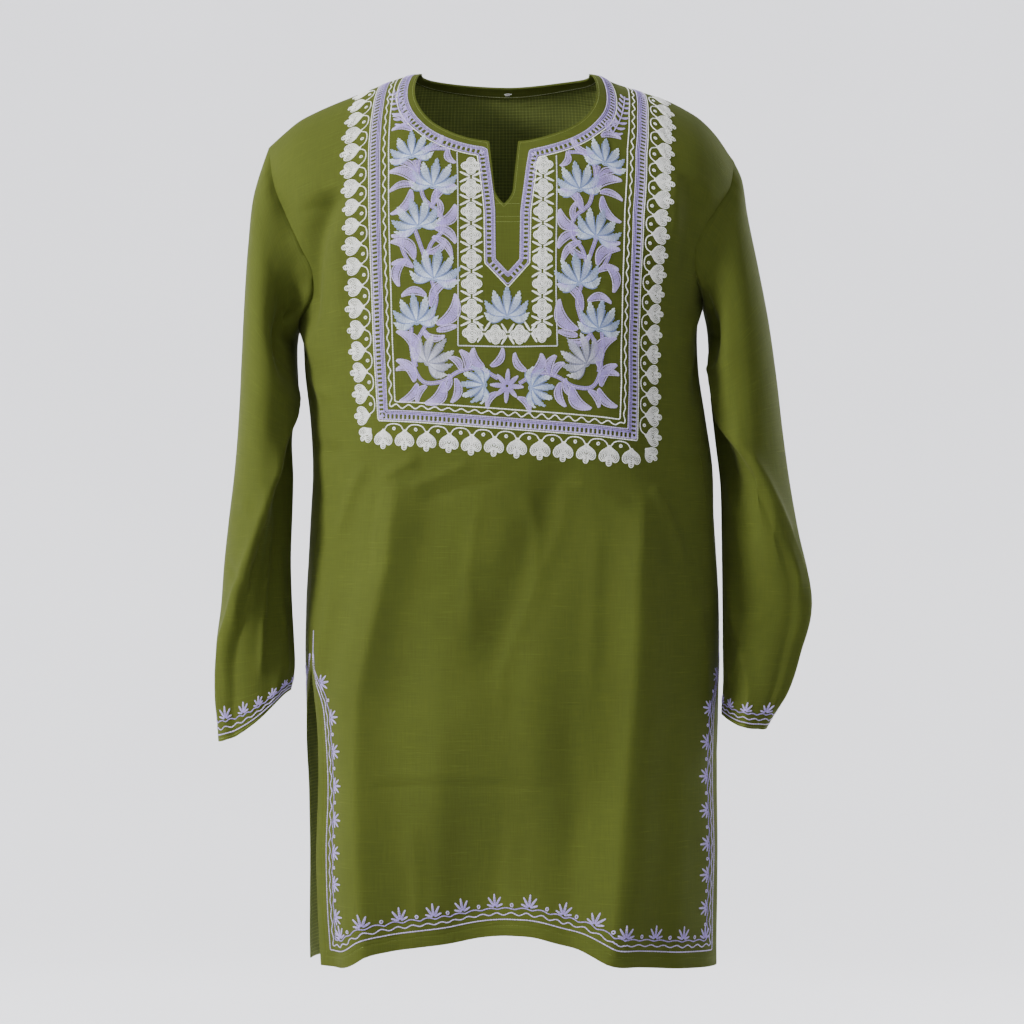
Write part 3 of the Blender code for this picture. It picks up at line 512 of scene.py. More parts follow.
def side_edge(side, panel):
    """The side seam and the slit's edge, from the underarm to the hem, as (quarter, down)."""
    top = ARMHOLE_DEPTH[side]
    bottom = float(hem_down(side * HEM_CORNER, panel)) if panel == "front" else HEM_SIDE
    down = np.linspace(top, bottom, round((bottom - top) / EDGE_STEP) + 1)
    down[np.argmin(abs(down - SLIT_TOP))] = SLIT_TOP
    names = (part + "_" + HANDS[side] for part in ("front", panel))
    seam, edge = (read(SIDES, SIDE_COLUMNS, name, down, 1.0) for name in names)
    seam[0] = 1.0
    quarter = np.where(down <= SLIT_TOP + 1e-6, seam, edge)
    return (2 - quarter if panel == "back" else quarter) - SEAM_GAP / 2 / QUARTER, down


def hem_down(across, panel):
    """How far down the hem lies: it rises between the two large folds."""
    if panel == "back":
        return HEM_SIDE - BACK_HEM_RISE * (1 - ease(np.abs(across) / BACK_HEM_REACH))
    return HEM_SIDE - read(HEM, HEM_COLUMNS, "rise", across)


def neckline(panel, widen=0.0):
    """Half of the neckline as (across, down), from the shoulder line to the middle."""
    front = panel == "front"
    drop = (FRONT_NECK_DROP if front else BACK_NECK_DROP) + widen
    power = 2 / (FRONT_NECK_ROUNDNESS if front else BACK_NECK_ROUNDNESS)
    angle = np.linspace(0, math.pi / 2, FINE_STEPS)
    across = (NECK_HALF_WIDTH + widen) * np.cos(angle) ** power
    down = down_at_drop(drop * np.sin(angle) ** power)
    run = travelled(np.stack((across, down), axis=1))
    across, down = evened(run, round(run[-1] / NECK_STEP), across, down)
    down[0] = SEAM_GAP / 2
    return across, down


def whole_line(across, down):
    """A line from its left end to its right end, from the half that ends in the middle."""
    half = np.stack((across, down), axis=1)
    return np.concatenate((half * (-1, 1), half[::-1][1:]))


def front_neck_edge():
    """The whole front neckline with its notch, from the left to the right, as (across, down)."""
    half = np.stack(neckline("front"), axis=1)
    left, right = NOTCH_MIDDLE - NOTCH_HALF_TOP, NOTCH_MIDDLE + NOTCH_HALF_TOP
    top = down_at_drop(FRONT_NECK_DROP)
    straight = down_at_drop(NOTCH_BOTTOM) - NOTCH_TIP
    notch = []
    for t in np.linspace(0, 1, 14)[:-1]:
        width = NOTCH_HALF_TOP + (NOTCH_HALF_BOTTOM - NOTCH_HALF_TOP) * t
        notch.append((width, top + (straight - top) * t))
    for t in np.linspace(0, 1, 9):
        notch.append((NOTCH_HALF_BOTTOM * (1 - t**1.9), straight + NOTCH_TIP * t))
    edge = [(-a, d) for a, d in half if -a < left - NECK_STEP / 2]
    edge += [(NOTCH_MIDDLE - width, d) for width, d in notch]
    edge += [(NOTCH_MIDDLE + width, d) for width, d in reversed(notch[:-1])]
    edge += [(a, d) for a, d in half[::-1] if a > right + NECK_STEP / 2]
    return edge


def panel_outline(panel):
    """The panel's outline in its flat as (across, down), and the part of it that is hemmed."""
    neck = front_neck_edge() if panel == "front" else whole_line(*neckline("back")).tolist()
    sides, slits = {}, {}
    for hand in (-1, 1):
        # The back is seen from behind, so its left hand is the body's right side.
        side = hand if panel == "front" else -hand
        shoulder_width = float(level(HANDS[side], 0.0))
        neck_out = NECK_HALF_WIDTH / shoulder_width
        steps = round((1 - neck_out) * shoulder_width / EDGE_STEP)
        shoulder = [(q, SEAM_GAP / 2) for q in np.linspace(neck_out, 1, steps + 1)[1:-1]]
        hole = list(zip(*armhole(side, panel)))
        edge = list(zip(*side_edge(side, panel)))
        hole[0], hole[-1] = (1 - SEAM_GAP / 2 / QUARTER, SEAM_GAP / 2), edge[0]
        sides[hand] = [(hand * q * QUARTER, d) for q, d in shoulder + hole + edge[1:]]
        slits[hand] = [(hand * q * QUARTER, d) for q, d in edge if d >= SLIT_TOP - 1e-6]
    hem_left, hem_right = sides[-1][-1][0], sides[1][-1][0]
    steps = round((hem_right - hem_left) / EDGE_STEP)
    hem = [(a, float(hem_down(a, panel))) for a in np.linspace(hem_left, hem_right, steps + 1)]
    loop = neck + sides[1] + hem[::-1][1:-1] + sides[-1][::-1]
    return np.array(loop), np.array(slits[-1] + hem[1:-1] + slits[1][::-1])


def chunks(points):
    """Runs of points short enough for a table against every edge of an outline."""
    return [points[i : i + CHUNK] for i in range(0, len(points), CHUNK)]


def inside(points, loop):
    """Which points lie inside a closed loop."""
    a, b = loop, np.roll(loop, -1, axis=0)
    found = []
    for part in chunks(points):
        x, y = part[:, 0:1], part[:, 1:2]
        crosses = (a[:, 1] > y) != (b[:, 1] > y)
        with np.errstate(divide="ignore", invalid="ignore"):
            at = (b[:, 0] - a[:, 0]) * (y - a[:, 1]) / (b[:, 1] - a[:, 1]) + a[:, 0]
        found.append((crosses & (x < at)).sum(axis=1) % 2 == 1)
    return np.concatenate(found)


def clear_of(points, starts, ends):
    """Each point's distance to the nearest of some straight lines."""
    way = ends - starts
    length = np.maximum((way**2).sum(axis=1), 1e-16)
    found = []
    for part in chunks(points):
        away = part[:, None] - starts
        t = np.clip((away * way).sum(axis=2) / length, 0, 1)
        found.append(np.linalg.norm(away - way * t[..., None], axis=2).min(axis=1))
    return np.concatenate(found)


def triangulate(loop, extra, cell):
    """Fills a flat outline with points and triangles that keep its edges and the extra lines."""
    lines = [(loop, np.roll(loop, -1, axis=0))] + [(e[:-1], e[1:]) for e in extra]
    starts = np.concatenate([s for s, _ in lines])
    ends = np.concatenate([e for _, e in lines])
    rows, down = [], SHOULDER_CELL
    while down < loop[:, 1].max():
        step = min(cell, SHOULDER_CELL + CELL_GROWTH * down)
        shift = cell / 2 * (len(rows) % 2)
        across = np.arange(loop[:, 0].min() + shift, loop[:, 0].max(), cell)
        rows.append(np.stack((across, np.full(len(across), down)), axis=1))
        down += step * ROW_HEIGHT
    points = np.concatenate(rows)
    points = points[inside(points, loop)]
    near = clear_of(points, starts, ends)
    limit = np.minimum(cell, SHOULDER_CELL + CELL_GROWTH * points[:, 1]) * LINE_CLEARANCE
    points = points[near > limit]
    corners, edges = [tuple(p) for p in loop], []
    for line in extra:
        start = len(corners)
        corners += [tuple(p) for p in line]
        edges += [(start + k, start + k + 1) for k in range(len(line) - 1)]
    corners += [tuple(p) for p in points]
    flipped = [Vector((a, -d)) for a, d in corners]
    face = list(range(len(loop)))[::-1]
    verts, _, faces, *_ = delaunay_2d_cdt(flipped, edges, [face], 1, 1e-6, False)
    flat = np.array([(v.x, -v.y) for v in verts])
    tris = np.array(faces)
    tris = tris[inside(flat[tris].mean(axis=1), loop)]
    a, b, c = (flat[tris[:, k]] for k in range(3))
    area = (b[:, 0] - a[:, 0]) * (c[:, 1] - a[:, 1]) - (b[:, 1] - a[:, 1]) * (c[:, 0] - a[:, 0])
    tris[area > 0] = tris[area > 0][:, ::-1]
    return flat, tris[abs(area) > 1e-10]


def new_object(name, data):
    made = bpy.data.objects.new(name, data)
    bpy.context.scene.collection.objects.link(made)
    return made


def shell(name, outer, inner, faces, flat, edge):
    """A closed wall of cloth between two matching surfaces, with its flat as UV and two materials."""
    used, index = np.unique(faces, return_inverse=True)
    faces = index.reshape(faces.shape)
    count, size = len(used), faces.shape[1]
    directed = Counter()
    for face in faces.tolist():
        directed.update((face[k], face[(k + 1) % size]) for k in range(size))
    rim = [(a, b) for a, b in directed if (b, a) not in directed]
    quads = [(b, a, a + count, b + count) for a, b in rim]
    mesh = bpy.data.meshes.new(name)
    points = np.concatenate((outer[used], inner[used])).tolist()
    mesh.from_pydata(points, [], faces.tolist() + (faces[:, ::-1] + count).tolist() + quads)
    mesh.update()
    corner = np.zeros(len(mesh.loops), np.int32)
    mesh.loops.foreach_get("vertex_index", corner)
    both_flats = np.concatenate((flat[used], flat[used]))[corner]
    mesh.uv_layers.new(name="flat").data.foreach_set("uv", both_flats.astype(np.float32).ravel())
    values = mesh.attributes.new("edge", "FLOAT", "POINT")
    values.data.foreach_set("value", np.concatenate((edge[used], edge[used])).astype(np.float32))
    finish = np.zeros(len(mesh.polygons), np.int32)
    finish[len(faces) : 2 * len(faces)] = 1
    # The second material is the wrong side, whose paler colour is painted light showing through the cloth.
    for material in ("slub_cotton", "slub_cotton_wrong_side"):
        mesh.materials.append(bpy.data.materials[material])
    mesh.polygons.foreach_set("material_index", finish)
    mesh.shade_smooth()
    mesh.set_sharp_from_angle(angle=math.radians(SHARP_ANGLE))
    return new_object(name, mesh)


def panel_piece(panel, cell):
    """A body panel's flat points, triangles, surface and distance from its hems."""
    loop, hemmed = panel_outline(panel)
    flat, tris = triangulate(loop, [facing_line()] if panel == "back" else [], cell)
    points, normals = flat_to_body(panel, flat[:, 0], flat[:, 1])
    return flat, tris, points, normals, clear_of(flat, hemmed[:-1], hemmed[1:])


def facing_line():
    return whole_line(*neckline("back", FACING_WIDTH))


def hem_swell(edge):
    """The turned-up hem's extra thickness, which ends at its topstitching."""
    return 0.45 * MM * (1 - ease((edge - 9 * MM) / (3 * MM)))


def armhole_loop(side):
    """The whole armhole from the shoulder point round the front: points, normals, ways off."""
    loop = []
    for panel in ("front", "back"):
        quarter, down = armhole(side, panel)
        points, normals = body(side * (quarter if panel == "front" else 2 - quarter), down)
        along = np.gradient(points, axis=0)
        away = unit(np.cross(normals, along))
        middle = len(quarter) // 2
        inner, _ = body(side * (0.7 if panel == "front" else 1.3), down[middle])
        if np.dot(away[middle], points[middle] - inner) < 0:
            away = -away
        loop.append((points, normals, away))
    (fp, fn, fa), (bp, bn, ba) = loop
    joined = []
    for first, second in ((fp, bp), (fn, bn), (fa, ba)):
        joined.append(np.concatenate((first, second[::-1][1:-1])))
    joined[2][0] = unit(fa[0] + ba[0])
    joined[2][len(fp) - 1] = unit(fa[-1] + ba[-1])
    return joined


def sleeve_section(side, row, angle):
    """One section of a sleeve, as points round it."""
    outer_x, outer_z, inner_x, inner_z, middle, depth, corner, crease, rise, dip = row
    outer = np.array((side * outer_x, 0, -outer_z)) * MM
    inner = np.array((side * inner_x, 0, -inner_z)) * MM
    half = (outer - inner) / 2
    across, forward = (np.sign(v) * np.abs(v) ** (2 / corner) for v in (np.cos(angle), np.sin(angle)))
    ring = (outer + inner) / 2 - np.array((0, middle * MM, 0)) + across[:, None] * half
    ring[:, 1] -= forward * depth * MM
    ring[:, 2] -= forward * dip * MM
    turn = np.abs((angle - math.radians(crease) + math.pi) % (2 * math.pi) - math.pi)
    ridge = np.clip(1 - turn / math.radians(CREASE_ANGLE), 0, 1) ** CREASE_SHARPNESS * rise * MM
    out = np.stack((across * half[0], -forward * depth * MM, across * half[2]), axis=1)
    return ring + unit(out) * ridge[:, None]


def hollow(side, around, down):
    """How far in a sleeve's front lies past its main crease, up to its inner end."""
    places, crease, deep = np.array(HOLLOWS[side], float).T * MM
    crease, deep = np.interp(down, places, crease), np.interp(down, places, deep)
    wall = HOLLOW_WALL * MM
    back = (around - crease - wall) / np.maximum(HOLLOW_END * MM - crease - wall, wall)
    back = np.clip(back, 0, 1)
    shape = (0.62 + 0.38 * ease(back / 0.5)) * (1 - np.clip((back - 0.45) / 0.55, 0, 1) ** 1.6)
    return deep * ease((around - crease) / wall) * shape


def sleeve_grid(side):
    """A sleeve's surface: points by ring and round, normals, ring places and the first inner ring."""
    edge, normals, away = armhole_loop(side)
    count = len(edge)
    angle = np.linspace(0, 2 * math.pi, count, endpoint=False)
    rows = SLEEVES[side]
    top, underarm = edge[0], edge[ARMHOLE_STEPS]
    start = edge + CLOTH_OUT * normals + SEAM_GAP * away
    *_, depth, _, _, _, _ = rows[0]
    plain = (top + underarm) / 2 + np.cos(angle)[:, None] * (top - underarm) / 2
    plain[:, 1] = -np.sin(angle) * depth * MM
    stations = [start] + [sleeve_section(side, row, angle) for row in rows]
    for k, keep in enumerate(ARMHOLE_SHARES, 1):
        stations[k] = stations[k] + keep * (start - plain)
    stations = np.array(stations)
    spread = np.linalg.norm(np.diff(stations, axis=0), axis=2).mean(axis=1)
    run = np.concatenate(([0.0], np.cumsum(spread)))
    along = np.linspace(0, 1, SLEEVE_RINGS) * run[-1]
    flat = stations.reshape(len(stations), -1)
    rings = np.stack([smooth(along, run, flat[:, c]) for c in range(flat.shape[1])], axis=1)
    rings = rings.reshape(SLEEVE_RINGS, count, 3)
    around = np.linspace(0, SLEEVE_GIRTH * MM, count, endpoint=False)[None, :]
    down = along[:, None]
    rise = fold_rise(around, down, SLEEVE_FOLDS[side]) - hollow(side, around, down)
    # Easing where the sleeve's head is sewn in
    rise += 0.5 * MM * np.sin(2 * math.pi * around / (14 * MM)) * np.exp(-down / (12 * MM))
    rise += unevenness(around * 1.2, down * 0.6, 11 + side, 0.45 * MM)
    # The folds fade at the seams.
    seam = ease((around / MM - 6) / 24) * ease((SLEEVE_GIRTH - around / MM - 6) / 24)
    rise *= ease(down / (6 * MM)) * seam
    rings = rings + rise[..., None] * ring_normals(rings)
    return rings, ring_normals(rings), along, edge + SEAM_GAP * away


def ring_normals(rings):
    """Outward normals of closed rings."""
    out = grid_normals(np.concatenate((rings, rings[:, :1]), axis=1))[:, :-1]
    centre = rings.mean(axis=1, keepdims=True)
    return out if ((rings - centre) * out).sum() > 0 else -out


SLEEVE_GRIDS = {side: sleeve_grid(side) for side in (-1, 1)}


def cuff_surface(side):
    """Points and normals from the length round the cuff and how far above its edge, and its girth."""
    rings, normals, along, _ = SLEEVE_GRIDS[side]
    closed, closed_normals = (np.concatenate((g, g[:, :1]), axis=1) for g in (rings, normals))
    run = travelled(closed[-1])
    up = along[-1] - along

    def surface(across, down):
        col = np.interp(np.mod(across, run[-1]), run, np.arange(len(run)))
        row = np.interp(down, up[::-1], np.arange(len(up))[::-1])
        return read_grid(closed, row, col), unit(read_grid(closed_normals, row, col))

    return surface, run[-1] / MM


# Embroidery. Its places are in millimetres in the flat, and each stitch is a small rounded grain.
# Corners of a grain: shares of its length, width and height
GRAIN = (
    (-0.5, 0.0, 0.3), (-0.28, -0.5, 0.0), (-0.28, 0.5, 0.0), (-0.28, 0.0, 1.0), (0.24, -0.5, 0.0),
    (0.24, 0.5, 0.0), (0.24, 0.0, 1.0), (0.5, 0.0, 0.3),
)
GRAIN_FACES = (
    (0, 1, 3), (0, 3, 2), (0, 2, 1), (1, 4, 6), (1, 6, 3), (2, 3, 6), (2, 6, 5), (1, 2, 5), (1, 5, 4),
    (7, 6, 4), (7, 5, 6), (7, 4, 5),
)
STITCH = 2.4
ROW = 1.4
STITCH_HEIGHT = 0.75
STITCH_OVERLAP = 1.18

LAVENDER = "#A793DA"
LILAC = "#CABBEC"
DEEP_SKY = "#7C8FC2"
SKY = "#9CAFD6"
PALE_SKY = "#E2ECF6"
DEEP_GREY = "#86889F"
GREY = "#A5A7BC"
PALE_GREY = "#D9DBE4"
WHITE = "#FFFFFA"
OLIVE_THREAD = "#6E7A33"
PALE_THREAD = "#AEB48A"

# Frame round the yoke: its outer line down the left, along the bottom and up the right. Rows of a
# frame or border: distance in from its edge, kind, colour, swing and length of a wave
FRAME = (
    (-141.5, 2), (-139.5, 23), (-135.5, 61), (-134, 93), (-133, 143), (-133.5, 221), (-135, 295),
    (-134.5, 404), (132, 424), (137, 366), (139, 294), (137, 186), (139, 115), (145, 70), (156, 23),
    (159, 2),
)
FRAME_ROWS = (
    (0.0, "line", WHITE, 0, 0),
    (1.7, "line", LILAC, 0, 0),
    (7.5, "line", LAVENDER, 0, 0),
    (9.0, "line", LAVENDER, 0, 0),
    (10.6, "line", LILAC, 0, 0),
    (15.0, "wave", WHITE, 1.2, 13.5),
    (19.4, "line", WHITE, 0, 0),
)
# The band round the neck and down the placket starts from its inner edge
PLACKET = (
    (-20, 128), (-17.5, 150), (-14.5, 175), (-12.8, 195), (-12.4, 245), (0, 258.5), (12.4, 245),
    (13, 195), (15.5, 175), (18.5, 150), (21.5, 130),
)
NECK_BAND_IN = {-1: 7.5, 1: 10.5}

# Lotus flowers: across, down, heading in degrees from straight up, size, and 1 where they are grey
LOTUSES = (
    (-92, 122, -2, 0.90, 0), (-69.5, 155, 8, 0.98, 0), (-89, 197, -14, 1.00, 0),
    (-68.8, 250, 12, 1.02, 0), (-92, 293, -6, 0.98, 0), (-71, 337, 40, 1.00, 1),
    (-36, 370, -88, 0.84, 0), (-0.9, 288, 0, 0.98, 0), (36, 373, 88, 0.84, 0), (72, 338, -38, 1.00, 1),
    (96, 300, 8, 0.98, 0), (70.7, 255, -10, 1.02, 0), (92.5, 207, 14, 1.00, 0),
    (69, 159, -10, 0.98, 0), (97, 127, 4, 0.90, 0),
)
LOTUS_PETALS = 7
LOTUS_SPREAD = 80
LOTUS_LENGTH = (24, 32)
LOTUS_WIDTH = 10.2
LOTUS_FEATHER = 0.42
LOTUS_BASE = 15.0

# Leaves of the vine on the left: base (across, down), tip (across, down), width and bend. The right
# has its mirror image, a little shifted.
LEAVES = (
    (-88, 164, -113, 147, 14, 0.18), (-92, 172, -112, 194, 12, -0.24), (-88, 152, -111, 137, 9, 0.15),
    (-72, 188, -50, 168, 10, -0.18), (-68, 209, -50, 189, 14, 0.22), (-66, 202, -68, 182, 7, 0.15),
    (-70, 213, -50, 229, 11, -0.18), (-90, 214, -112, 217, 8, -0.15), (-90, 244, -113, 223, 14, 0.22),
    (-98, 243, -107, 270, 12, 0.24), (-78, 238, -60, 226, 9, 0.18), (-92, 252, -113, 246, 8, 0.15),
    (-76, 292, -50, 266, 11, -0.22), (-70, 310, -51, 280, 16, 0.24), (-70, 316, -50, 312, 8, 0.00),
    (-84, 318, -62, 322, 9, 0.18), (-92, 347, -111, 315, 15, 0.24), (-94, 367, -112, 344, 12, 0.18),
    (-91, 369, -110, 386, 11, -0.18), (-82, 371, -92, 388, 9, 0.18), (-64, 367, -84, 389, 15, -0.24),
    (-58, 360, -66, 378, 8, -0.15), (-40, 355, -47, 336, 11, 0.18), (-24, 353, -34, 334, 13, -0.24),
    (-17, 352, -5, 334, 9, 0.18), (-57, 128, -50, 144, 8, 0.24), (-92, 105, -112, 98, 8, 0.18),
    (-98, 96, -112, 80, 8, 0.18), (-90, 168, -113, 169, 9, 0.18), (-80, 281, -105, 280, 10, 0.2),
    (-93, 356, -113, 354, 8, 0.15), (-46, 356, -58, 343, 9, 0.2), (-52, 364, -57, 388, 10, -0.2),
    (-9, 378, -21, 394, 8, 0.2), (-72, 222, -54, 243, 9, -0.15), (-84, 128, -62, 113, 8, 0.2),
)
STEMS = (
    (-10, 364, -30, 354, -48, 357, -66, 367, -85, 367, -94, 352, -93, 332, -84, 315, -74, 300),
    (-74, 300, -70, 284, -74, 266), (-74, 262, -81, 240, -89, 214),
    (-79, 244, -74, 230, -62, 214, -64, 200, -80, 182, -84, 162, -89, 140),
    (-74, 192, -68, 182, -68, 172), (-86, 154, -84, 140, -75, 129, -58, 128),
    (-94, 250, -100, 238, -104, 222), (-92, 352, -97, 330, -96, 312), (-84, 315, -78, 322, -76, 330),
)
SPRAYS = {
    -1: (
        (-98, 100), (-108, 72), (-118, 38),
    ),
    1: (
        (104, 104), (116, 76), (127, 40),
    ),
}

# Outline of a heart: degrees from the way it points, and distance from its middle
HEART = (
    (0, 12.2), (9, 11.8), (17, 9.8), (24, 5.6), (32, 8.8), (44, 10.9), (60, 11.4), (76, 10.9),
    (94, 9.6), (114, 8.2), (135, 7.1), (155, 7.0), (170, 7.9), (180, 9.4),
)
HEART_OUT = 17.0
HEART_PITCH = 21.6

# Borders of the hem, the slits and the cuffs: rows at their distance in from the edge
HEM_ROWS = (
    (16.5, "line", LILAC, 0, 0),
    (22.0, "wave", LILAC, 1.3, 15),
    (27.2, "scallop", LAVENDER, 1.2, 17.25),
)
CUFF_ROWS = (
    (5.0, "line", LILAC, 0, 0),
    (9.5, "wave", LILAC, 1.1, 12),
    (14.5, "scallop", LAVENDER, 1.1, 9.5),
)
SPRIG_PITCH = 34.5
CUFF_SPRIG_PITCH = 19.0


def rgb(code):
    """A linear colour from its sRGB hex code."""
    parts = [int(code[i : i + 2], 16) / 255 for i in (1, 3, 5)]
    return tuple(p / 12.92 if p <= 0.04045 else ((p + 0.055) / 1.055) ** 2.4 for p in parts)


def add(tree, kind, inputs=(), **settings):
    """Adds a node. Its inputs, in order or by name, are values, sockets, or nodes with one output."""
    node = tree.nodes.new("ShaderNode" + kind)
    for key, value in settings.items():
        setattr(node, key, value)
    for key, value in dict(inputs if isinstance(inputs, dict) else enumerate(inputs)).items():
        if isinstance(value, bpy.types.Node):
            value = next(socket for socket in value.outputs if socket.enabled)
        if isinstance(value, bpy.types.NodeSocket):
            tree.links.new(value, node.inputs[key])
        else:
            node.inputs[key].default_value = value
    return node


def along(path, lengths):
    """Points of a path at some lengths along it."""
    run = travelled(path)
    return np.stack([np.interp(lengths, run, path[:, k]) for k in range(2)], axis=1)


def at_lengths(path, lengths):
    """Points of a path at some lengths along it, and the ways there that lie outwards."""
    way = unit(along(path, lengths + 1.0) - along(path, lengths - 1.0))
    return along(path, lengths), np.stack((-way[:, 1], way[:, 0]), axis=1)


def offset(path, distance):
    """A line beside a path, outwards of it where distance is positive, with its corners square."""
    if distance == 0:
        return path
    ways = unit(np.diff(path, axis=0))
    sides = np.stack((-ways[:, 1], ways[:, 0]), axis=1)
    found = []
    for k, (start, end, side) in enumerate(zip(path, path[1:], sides)):
        if k:
            turn = ways[k - 1, 0] * ways[k, 1] - ways[k - 1, 1] * ways[k, 0]
            if turn * distance < -0.3 * abs(distance):
                both = sides[k - 1] + side
                found.append(start + both * distance / (1 + sides[k - 1] @ side))
        count = max(2, int(np.linalg.norm(end - start)) + 1)
        found.extend(start + (end - start) * t + side * distance for t in np.linspace(0, 1, count))
    found = np.array(found)
    return found[clear_of(found, path[:-1], path[1:]) > abs(distance) - 0.05]


def curve(points):
    """A smooth curve through some points, given by turns across and down."""
    points = np.array(points, float).reshape(-1, 2)
    run = travelled(points)
    at = np.linspace(0, run[-1], max(3, round(run[-1] / CURVE_STEP) + 1))
    return np.stack([smooth(at, run, points[:, k]) for k in range(2)], axis=1)


def turned(points, place, heading):
    """Moves a motif, whose second coordinate points the way of heading, to its place."""
    points = np.asarray(points, float)
    return place + points[:, :1] * np.array((-heading[1], heading[0])) + points[:, 1:] * heading


def compass(degrees):
    """The way in the flat that lies some degrees right of straight up."""
    angle = math.radians(degrees)
    return np.array((math.sin(angle), -math.cos(angle)))


def circle(turns, reach):
    """Points round a middle, at one reach or at one for each turn."""
    return np.stack((np.sin(turns) * reach, np.cos(turns) * reach), axis=1)


class Embroidery:
    """Gathers rows of stitches, and lays them on the cloth as one piece."""

    def __init__(self, surface, seed):
        self.surface = surface
        self.random = np.random.default_rng(seed)
        self.stitches = []

    def row(self, path, colour, towards=None, stitch=STITCH, width=ROW, height=STITCH_HEIGHT, lift=0.0):
        """Lays a row along a path, its colour blending towards a second one."""
        path = np.asarray(path, float)
        length = travelled(path)[-1]
        count = max(1, round(length / stitch))
        at = np.linspace(0, length, count + 1)
        at[1:-1] += self.random.uniform(-0.32, 0.32, max(count - 1, 0)) * length / count
        points = along(path, at)
        share = ((np.arange(count) + 0.5) / count)[:, None]
        shade = np.array(rgb(colour)) * (1 - share) + np.array(rgb(towards or colour)) * share
        shade = shade * self.random.uniform(0.84, 1.08, (count, 1))
        sizes = np.tile((width, height, lift), (count, 1))
        self.stitches.append(np.concatenate((points[:-1], points[1:], sizes, shade), axis=1))

    def ring(self, outline, place, colour):
        """Fills an outline that goes round its middle with rows inside one another."""
        reach = np.linalg.norm(outline, axis=1).mean()
        closed = np.concatenate((outline, outline[:1]))
        for k in range(max(1, int((reach - ROW / 2) / ROW))):
            self.row(place + closed * ((reach - ROW / 2 - k * ROW) / reach), colour, stitch=1.95)
        for across in (-0.7, 0.7):
            self.row(place + np.array(((across, -1.3), (across, 1.3))), colour, stitch=2.6)

    def petal(
        self, base, tip, width, bend, colour, towards, lift=0.0, rows=None, rim=None, feather=0.0, gap=0.0
    ):
        """Fills a pointed petal or leaf with rows along it, the outer ones in the rim's colour.

        With feather, the rows fan out and the outer ones end sooner, so that the tip is serrated.
        """
        base, tip = np.asarray(base, float), np.asarray(tip, float)
        way = tip - base
        length = np.linalg.norm(way)
        side = np.array((-way[1], way[0])) / length
        t = np.linspace(0, 1, max(5, round(length / 1.5)))
        middle = base + way * t[:, None] + side * (bend * length * 4 * t * (1 - t))[:, None]
        half = width / 2 * np.sin(math.pi * t**0.86) ** 0.68
        if feather:
            half = width / 2 * np.sin(math.pi / 2 * np.minimum(t * 1.5, 1)) ** 0.8
        rows = rows or max(1, round(width / ROW))
        for k, place in enumerate(np.linspace(-1, 1, rows + 2)[1:-1] * rows / (rows - 0.2)):
            outer = rim and k in (0, rows - 1)
            line = middle + side * (half * place + np.sign(place) * (gap if outer else 0))[:, None]
            line = line[: max(3, round(len(t) * (1 - feather * abs(place) ** 1.3)))]
            self.row(line, rim if outer else colour, rim if outer else towards, lift=lift)

    def make(self, name, material):
        """Lays the stitches on the cloth."""
        data = np.concatenate(self.stitches)
        starts, ends = data[:, :2] * MM, data[:, 2:4] * MM
        width, height, lift = (data[:, k : k + 1] * MM for k in (4, 5, 6))
        first, _ = self.surface(*starts.T)
        last, _ = self.surface(*ends.T)
        middle, normal = self.surface(*((starts + ends) / 2).T)
        length = np.linalg.norm(last - first, axis=1, keepdims=True)
        way = unit(last - first)
        normal = unit(normal - way * (normal * way).sum(axis=1, keepdims=True))
        middle = (first + last + 2 * middle) / 4 + normal * (lift - 0.12 * MM)
        axes = np.stack((way * length * STITCH_OVERLAP, np.cross(normal, way) * width, normal * height), axis=1)
        points = middle[:, None] + np.array(GRAIN) @ axes
        faces = np.arange(len(data))[:, None, None] * len(GRAIN) + np.array(GRAIN_FACES)
        mesh = bpy.data.meshes.new(name)
        mesh.from_pydata(points.reshape(-1, 3).tolist(), [], faces.reshape(-1, 3).tolist())
        mesh.update()
        shade = np.ones((len(data), len(GRAIN), 4))
        shade[..., :3] = data[:, None, 7:]
        thread = mesh.attributes.new("thread", "FLOAT_COLOR", "POINT")
        thread.data.foreach_set("color", shade.astype(np.float32).ravel())
        mesh.materials.append(bpy.data.materials[material])
        mesh.shade_smooth()
        return new_object(name, mesh)


def face(panel, out=CLOTH_OUT, way=1):
    """A panel's surface to sew on: its outer face, or another one that looks inwards."""

    def surface(across, down):
        points, normals = flat_to_body(panel, across, down)
        return points + out * normals, way * normals

    return surface


def heart(work, place, heading, size):
    turns = np.radians(np.linspace(-180, 180, 73)[:-1])
    reach = np.interp(np.degrees(np.abs(turns)), *np.array(HEART, float).T) * size
    work.ring(turned(circle(turns, reach), np.zeros(2), heading), place, WHITE)


def quatrefoil(work, place, size):
    turns = np.linspace(0, 2 * math.pi, 61)[:-1]
    work.ring(circle(turns, (6.4 + 4.0 * np.abs(np.cos(2 * turns)) ** 0.9) * size), place, WHITE)


